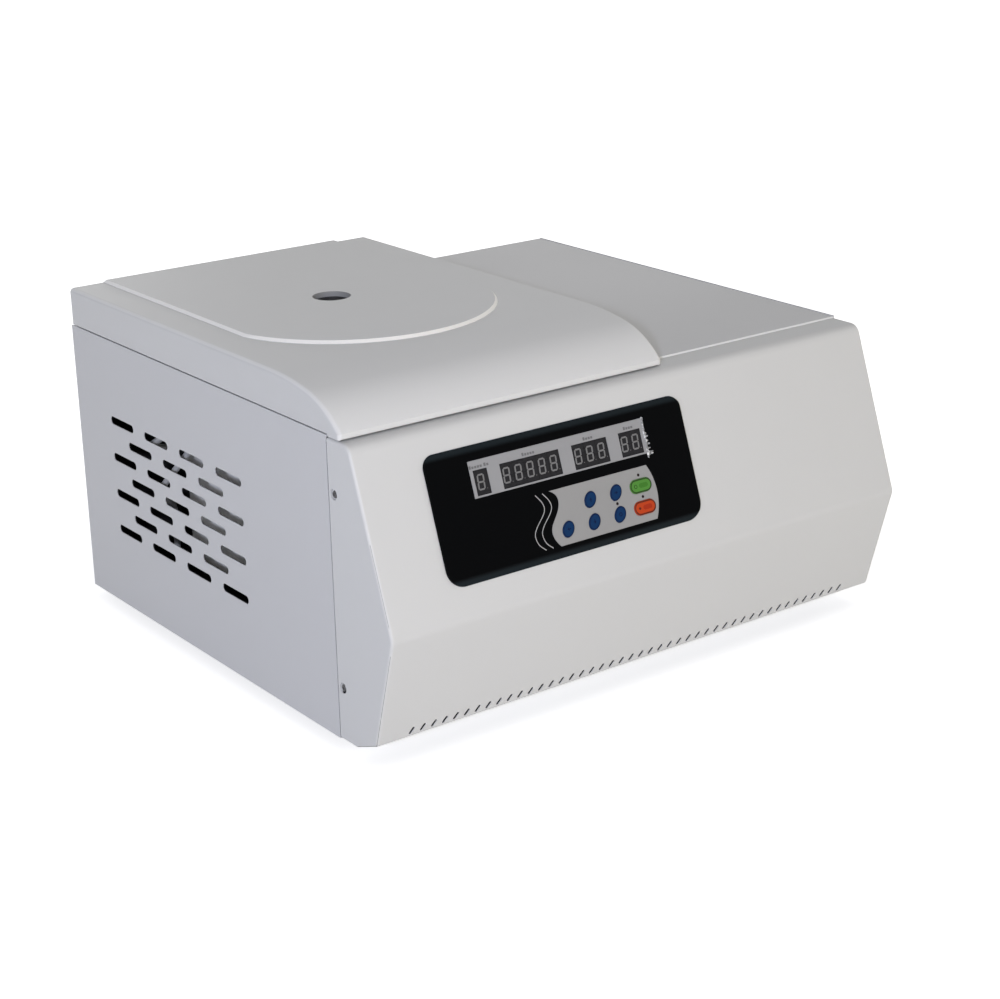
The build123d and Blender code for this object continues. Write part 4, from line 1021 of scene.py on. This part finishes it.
def makeBlueKeyMark(name, mark, values):
    x, y, halfX, halfY, face = keyTop(name)
    lean = math.radians(90 - values["lean"])
    inset, rim, size, rise = lengths(values, "inset", "blueRim", "markSize", "rise")
    halfLong, halfShort = (half - inset for half in ovalAxes(halfX, halfY, lean))
    top = face + rise
    shape = bmesh.new()
    band(shape, ovalOutline(x, y, halfLong - rim, halfShort - rim, lean),
         ovalOutline(x, y, halfLong, halfShort, lean), face, top)
    if mark == "ring":
        band(shape, roundOutline(x, y, size * values["ringHole"]), roundOutline(x, y, size), face, top)
    else:
        for outline in arrowOutlines(x, y, size, arrowAngles[mark], values):
            plate(shape, outline, face, top)
    slopePiece(name + "_mark", shape, "blueMark", name + "_body")


def makeBarKeyMark(name, values, dark, light, stop):
    x, y, halfX, halfY, face = keyTop(name)
    inset, rim, size, rise = lengths(values, "inset", "barRim", "markSize", "rise")
    top = face + rise
    shape = bmesh.new()
    band(shape, slotOutline(x, y, halfX - inset - rim, halfY - inset - rim),
         slotOutline(x, y, halfX - inset, halfY - inset), face, top)
    markX = x - halfX * values["markAside"]
    if stop:
        half = size * values["stopHalf"]
        plate(shape, turned(boxOutline(markX, y, half, half), markX, y, math.pi / 4), face, top)
    else:
        hole = size * values["startHole"]
        band(shape, roundOutline(markX, y, hole), roundOutline(markX, y, size), face, top)
    slopePiece(name + "_rim", shape, dark, name + "_body")
    bar = bmesh.new()
    length, width = values["bar"]
    plate(bar, slotOutline(x + halfX * values["barAside"], y, halfX * length, halfY * width), face, top)
    slopePiece(name + "_bar", bar, light, name + "_body")


for number, mark in enumerate(keyValues["marks"]):
    makeBlueKeyMark(f"blue_key_{number + 1}", mark, keyValues)
makeBarKeyMark("start_key", keyValues, "greenMark", "greenLight", False)
makeBarKeyMark("stop_key", keyValues, "orangeMark", "orangeLight", True)
print("waves and key marks done")


# a lifted, crinkled end of clear film over the display strip

filmValues = {
    "top": ((-1.4, 0.9), (0.1, 0.6)),        # from the strip's right upper corner: left and right ends
    "bottom": ((-2.6, -36.4), (-0.9, -36.8)),
    "across": 8,
    "down": 60,
    "fins": ((0.40, 1.6), (0.47, 3.4), (0.58, 2.6), (0.66, 4.6), (0.77, 3.4), (0.86, 6.2), (0.91, 6.6)),
    "finWidth": 0.022,       # fins: how far down, as a share, and their reach
    "ragged": 0.25,
    "gap": 0.05,
    "lift": 0.25,
    "ridge": (0.25, 0.16, 0.5),      # place and width across, as shares, and height
    "crinkle": 0.5,
    "seed": 5,
}


def hump(at, middle, width):
    return math.exp(-((at - middle) / width) ** 2)


def makeFilm(values):
    random.seed(values["seed"])
    high = slopeSpan("display_strip")[1]
    corner = Vector((high.x, high.y))
    top, bottom = ([corner + Vector(point) * mm for point in values[key]] for key in ("top", "bottom"))
    ridgePlace, ridgeWidth, ridgeHeight = values["ridge"]
    shape = bmesh.new()
    rows = []
    for j in range(values["down"] + 1):
        t = j / values["down"]
        left, right = top[0].lerp(bottom[0], t), top[1].lerp(bottom[1], t)
        reach = sum(fin * hump(t, at, values["finWidth"]) for at, fin in values["fins"])
        right.x += (reach + random.uniform(-values["ragged"], values["ragged"])) * mm
        row = []
        for i in range(values["across"] + 1):
            s = i / values["across"]
            flat = left.lerp(right, s)
            crinkle = random.uniform(0, 1) * values["crinkle"] * (0.2 + s)
            lift = values["lift"] * min(1, 4 * s) + hump(s, ridgePlace, ridgeWidth) * ridgeHeight
            lift += crinkle * min(1, 3 * s)
            row.append(shape.verts.new((flat.x, flat.y, high.z + (values["gap"] + lift) * mm)))
        rows.append(row)
    for first, second in zip(rows, rows[1:]):
        for i in range(values["across"]):
            shape.faces.new((first[i], first[i + 1], second[i + 1], second[i]))
    slopePiece("display_film_end", shape, "film", smooth=20)


makeFilm(filmValues)
print("film done")


# cross-recess screws

screwValues = {
    "bezel_side_screws": {"axis": 0, "head": 3.4, "height": 1.8, "shank": 1.9, "cross": 2.1},
    "rear_panel_screws": {"axis": 1, "head": 3.4, "height": 1.8, "shank": 1.9, "cross": 2.1},
    "lid_screws": {"axis": 2, "head": 3.4, "height": 1.0, "shank": 1.75, "cross": 2.0},
    "crossWidth": 0.75,
    "crossDepth": 1.1,
    # the pan head from its foot up: shares of the head's radius and of the depth below its top
    "pan": ((0.97, 1), (1, 0.8), (0.97, 0.5), (0.88, 0.24), (0.7, 0.07), (0.4, 0)),
    "seed": 11,
}


def cutMesh(body, cutter):
    # body minus cutter, both as bmesh, returned as a mesh
    objects = []
    for shape in (body, cutter):
        bmesh.ops.recalc_face_normals(shape, faces=shape.faces)
        objects.append(newObject("rough", asMesh(shape)))
    cut = objects[0].modifiers.new("cut", "BOOLEAN")
    cut.operation = "DIFFERENCE"
    cut.object = objects[1]
    cut.solver = "EXACT"
    bpy.context.view_layer.update()
    done = bpy.data.meshes.new_from_object(objects[0].evaluated_get(bpy.context.evaluated_depsgraph_get()))
    for made in objects:
        bpy.data.objects.remove(made)
    return done


def screwMesh(values, length):
    # pan head on +Z, its top at z = 0, the tip below
    head, height, shank, reach = lengths(values, "head", "height", "shank", "cross")
    body = bmesh.new()
    lathe(body, [(shank * 0.3, -length), (shank, shank - length), (shank, -height)]
          + [(head * across, -height * down) for across, down in screwValues["pan"]])
    cross = bmesh.new()
    half = screwValues["crossWidth"] * mm / 2
    outline = [(half, half), (half, reach), (-half, reach), (-half, half), (-reach, half), (-reach, -half),
               (-half, -half), (-half, -reach), (half, -reach), (half, -half), (reach, -half), (reach, half)]
    plate(cross, outline, -min(screwValues["crossDepth"] * mm, height * 0.8), height)
    return cutMesh(body, cross)


def addScrew(shape, values, length, place, direction):
    # a screw, its cross turned by chance
    mesh = screwMesh(values, length)
    spin = Matrix.Rotation(math.radians(random.uniform(0, 90)), 4, "Z")
    addMesh(shape, mesh, standing(place, direction) @ spin)


def makeScrews(node, body, finish="screw"):
    shape = bmesh.new()
    values = screwValues[node]
    axis = values["axis"]
    for solid in solidsOf(node):
        low, high = span(solid)
        top = (low + high) / 2
        direction = Vector((0, 0, 0))
        direction[axis] = {0: math.copysign(1, top.x), 1: 1, 2: -1}[axis]
        top[axis] = high[axis] if direction[axis] > 0 else low[axis]
        addScrew(shape, values, high[axis] - low[axis], top, direction)
    piece = newPiece(node + "_crossed", shape, printFinishes[finish], body, smooth=32)
    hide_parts(node)


random.seed(screwValues["seed"])
makeScrews("bezel_side_screws", "cabinet", "blackScrew")
makeScrews("rear_panel_screws", "cabinet")
makeScrews("lid_screws", "lid")
print("screws done")


# knurled nut on the rotor

nutValues = {"knurls": 36, "depth": 0.35, "round": 2.6, "foot": 1.2, "hole": 0.55,
             "socket": 3.3, "mouth": 3.75, "chamfer": 0.4, "socketDepth": 5.0}


def makeNut(values):
    low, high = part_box("rotor_nut")
    centre = (low + high) / 2
    radius = (high.x - low.x) / 2
    height = high.z - low.z
    foot, rounding, depth = lengths(values, "foot", "round", "depth")
    socket, mouth, chamfer, socketDepth = lengths(values, "socket", "mouth", "chamfer", "socketDepth")
    # radius, height, and whether the ring is knurled
    profile = [(radius * values["hole"], 0, 0), (radius - depth, 0, 0), (radius - depth, foot, 0),
               (radius, foot * 1.3, 1), (radius, height - rounding * 1.4, 1),
               (radius - depth, height - rounding * 1.2, 0)]
    for step in range(1, 5):
        a = math.pi / 2 * step / 4
        aside, down = rounding * (1 - math.cos(a)), rounding * (1 - math.sin(a))
        profile.append((radius - depth - aside, height - down, 0))
    profile += [(mouth, height, 0), (socket, height - chamfer, 0), (socket, height - socketDepth, 0)]
    count = values["knurls"] * 4
    shape = bmesh.new()
    rings = []
    for r, z, knurled in profile:
        ring = []
        for i in range(count):
            a = 2 * math.pi * i / count
            reach = r - knurled * depth * (0.5 - 0.5 * math.cos(a * values["knurls"]))
            point = (centre.x + reach * math.cos(a), centre.y + reach * math.sin(a), low.z + z)
            ring.append(shape.verts.new(point))
        rings.append(ring)
    joinRings(shape, rings)
    shape.faces.new(rings[0])
    shape.faces.new(rings[-1])
    piece = newPiece("rotor_nut_knurled", shape, finishes["alloy"], "rotor", smooth=28)
    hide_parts("rotor_nut")


makeNut(nutValues)
print("rotor nut done")


# hinges: three screws sunk in each leaf

hingeValues = {
    "across": 16.0,          # between screws
    "barrel": 4.0,           # from the pin to the leaf's flat part
    "head": 2.9, "height": 0.9, "shank": 1.4, "cross": 1.7, "length": 1.6,
    "pocketGap": 0.35, "pocketDepth": 1.0,
}
hingeSteel = brushed("hingeSteel", (0.56, 0.56, 0.57), (18, 1, 1), 0.34)


def makeHinges(node, body, screwName, values):
    screws, pockets = bmesh.new(), bmesh.new()
    pinLow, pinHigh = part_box("hinge_pins")
    barrel = (pinHigh.z - pinLow.z) / 2 + values["barrel"] * mm
    pinZ = (pinLow.z + pinHigh.z) / 2
    rearward = Vector((0, 1, 0))
    head, gap, depth, length, apart = lengths(values, "head", "pocketGap", "pocketDepth", "length", "across")
    for solid in solidsOf(node):
        low, high = span(solid)
        up = (high.z + pinZ + barrel) / 2 if high.z - pinZ > pinZ - low.z else (low.z + pinZ - barrel) / 2
        face = max(point.y for point in solid if abs(point.z - up) > abs(up - pinZ) * 0.5)
        for step in (-1, 0, 1):
            place = Vector(((low.x + high.x) / 2 + step * apart, face, up))
            addScrew(screws, values, length, place, rearward)
            pocket = bmesh.new()
            lathe(pocket, [(head + gap, -depth), (head + gap, depth)])
            addMesh(pockets, asMesh(pocket), standing(place, rearward))
    leaf = bmesh.new()
    leaf.from_mesh(nodes[node].data)
    bmesh.ops.remove_doubles(leaf, verts=leaf.verts, dist=joinGap)
    shape = bmesh.new()
    addMesh(shape, cutMesh(leaf, pockets), Matrix.Identity(4))
    piece = newPiece(node + "_pocketed", shape, hingeSteel, body, smooth=30)
    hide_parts(node)
    newPiece(screwName, screws, printFinishes["screw"], body, smooth=32)


makeHinges("hinge_brackets", "cabinet", "hinge_screws_fixed", hingeValues)
makeHinges("hinge_leaves", "lid", "hinge_screws_lid", hingeValues)
nodes["hinge_pins"].data.materials[0] = hingeSteel
print("hinges done")


# power rocker: a bar and a ring, one on each half

rockerValues = {"size": 2.3, "stroke": 0.7, "rise": 0.05}


def makeRockerMarks(values):
    mesh = nodes["power_rocker"].data
    groups = {}
    for polygon in mesh.polygons:
        if polygon.normal.y > 0.5 and abs(polygon.normal.x) < 0.05:
            groups.setdefault(round(polygon.normal.z, 2), []).append(polygon)
    halves = sorted(groups.values(), key=lambda group: -sum(polygon.area for polygon in group))[:2]
    size, stroke, rise = lengths(values, "size", "stroke", "rise")
    shape = bmesh.new()
    for number, group in enumerate(halves):
        normal = group[0].normal.copy()
        points = [mesh.vertices[i].co for polygon in group for i in polygon.vertices]
        tilt = Matrix((across, normal.cross(across), normal)).transposed()
        low, high = span(points, tilt)
        x, y, top = (low.x + high.x) / 2, (low.y + high.y) / 2, high.z + rise
        mark = bmesh.new()
        if number == 0:
            plate(mark, boxOutline(x, y, stroke / 2, size), high.z, top)
        else:
            band(mark, roundOutline(x, y, size - stroke), roundOutline(x, y, size), high.z, top)
        addMesh(shape, asMesh(mark), tilt.to_4x4())
    newPiece("power_rocker_marks", shape, printFinishes["white"], "rocker")


makeRockerMarks(rockerValues)
print("rocker marked")


# top cover with a rounded front edge

coverValues = {
    "round": 1.9, "segments": 4, "edge": 0.35,
    # the rear and edge colours are a painted sheen and a painted highlight
    "frontColour": (0.60, 0.598, 0.598), "rearSheenColour": (0.70, 0.698, 0.698), "paintedEdgeLight": (0.92, 0.92, 0.91),
    "fade": 0.7,             # share of its depth over which the painted sheen grows
}


def makeCover(values):
    low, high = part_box("right_top_cover")
    shape = bmesh.new()
    shape.from_mesh(nodes["right_top_cover"].data)
    bmesh.ops.remove_doubles(shape, verts=shape.verts, dist=joinGap)
    bmesh.ops.dissolve_limit(shape, angle_limit=flatAngle, verts=shape.verts, edges=shape.edges)
    corner = Vector((low.y, high.z))
    front = [edge for edge in shape.edges
             if all((vert.co.yz - corner).length < joinGap for vert in edge.verts)]
    bmesh.ops.bevel(shape, geom=front, offset=values["round"] * mm, segments=values["segments"], profile=0.5,
                    affect="EDGES", clamp_overlap=True)
    coat = paintedSheenCoat("coverCoat", values, low.y, low.y + values["fade"] * (high.y - low.y))
    piece = newPiece("right_top_cover_rounded", shape, coat, "cabinet")
    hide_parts("right_top_cover")
    roundEdges(piece, values["edge"])


makeCover(coverValues)
print("cover done")

for name, width in edgeValues.items():
    softenEdges(name, width)
print("edges softened")
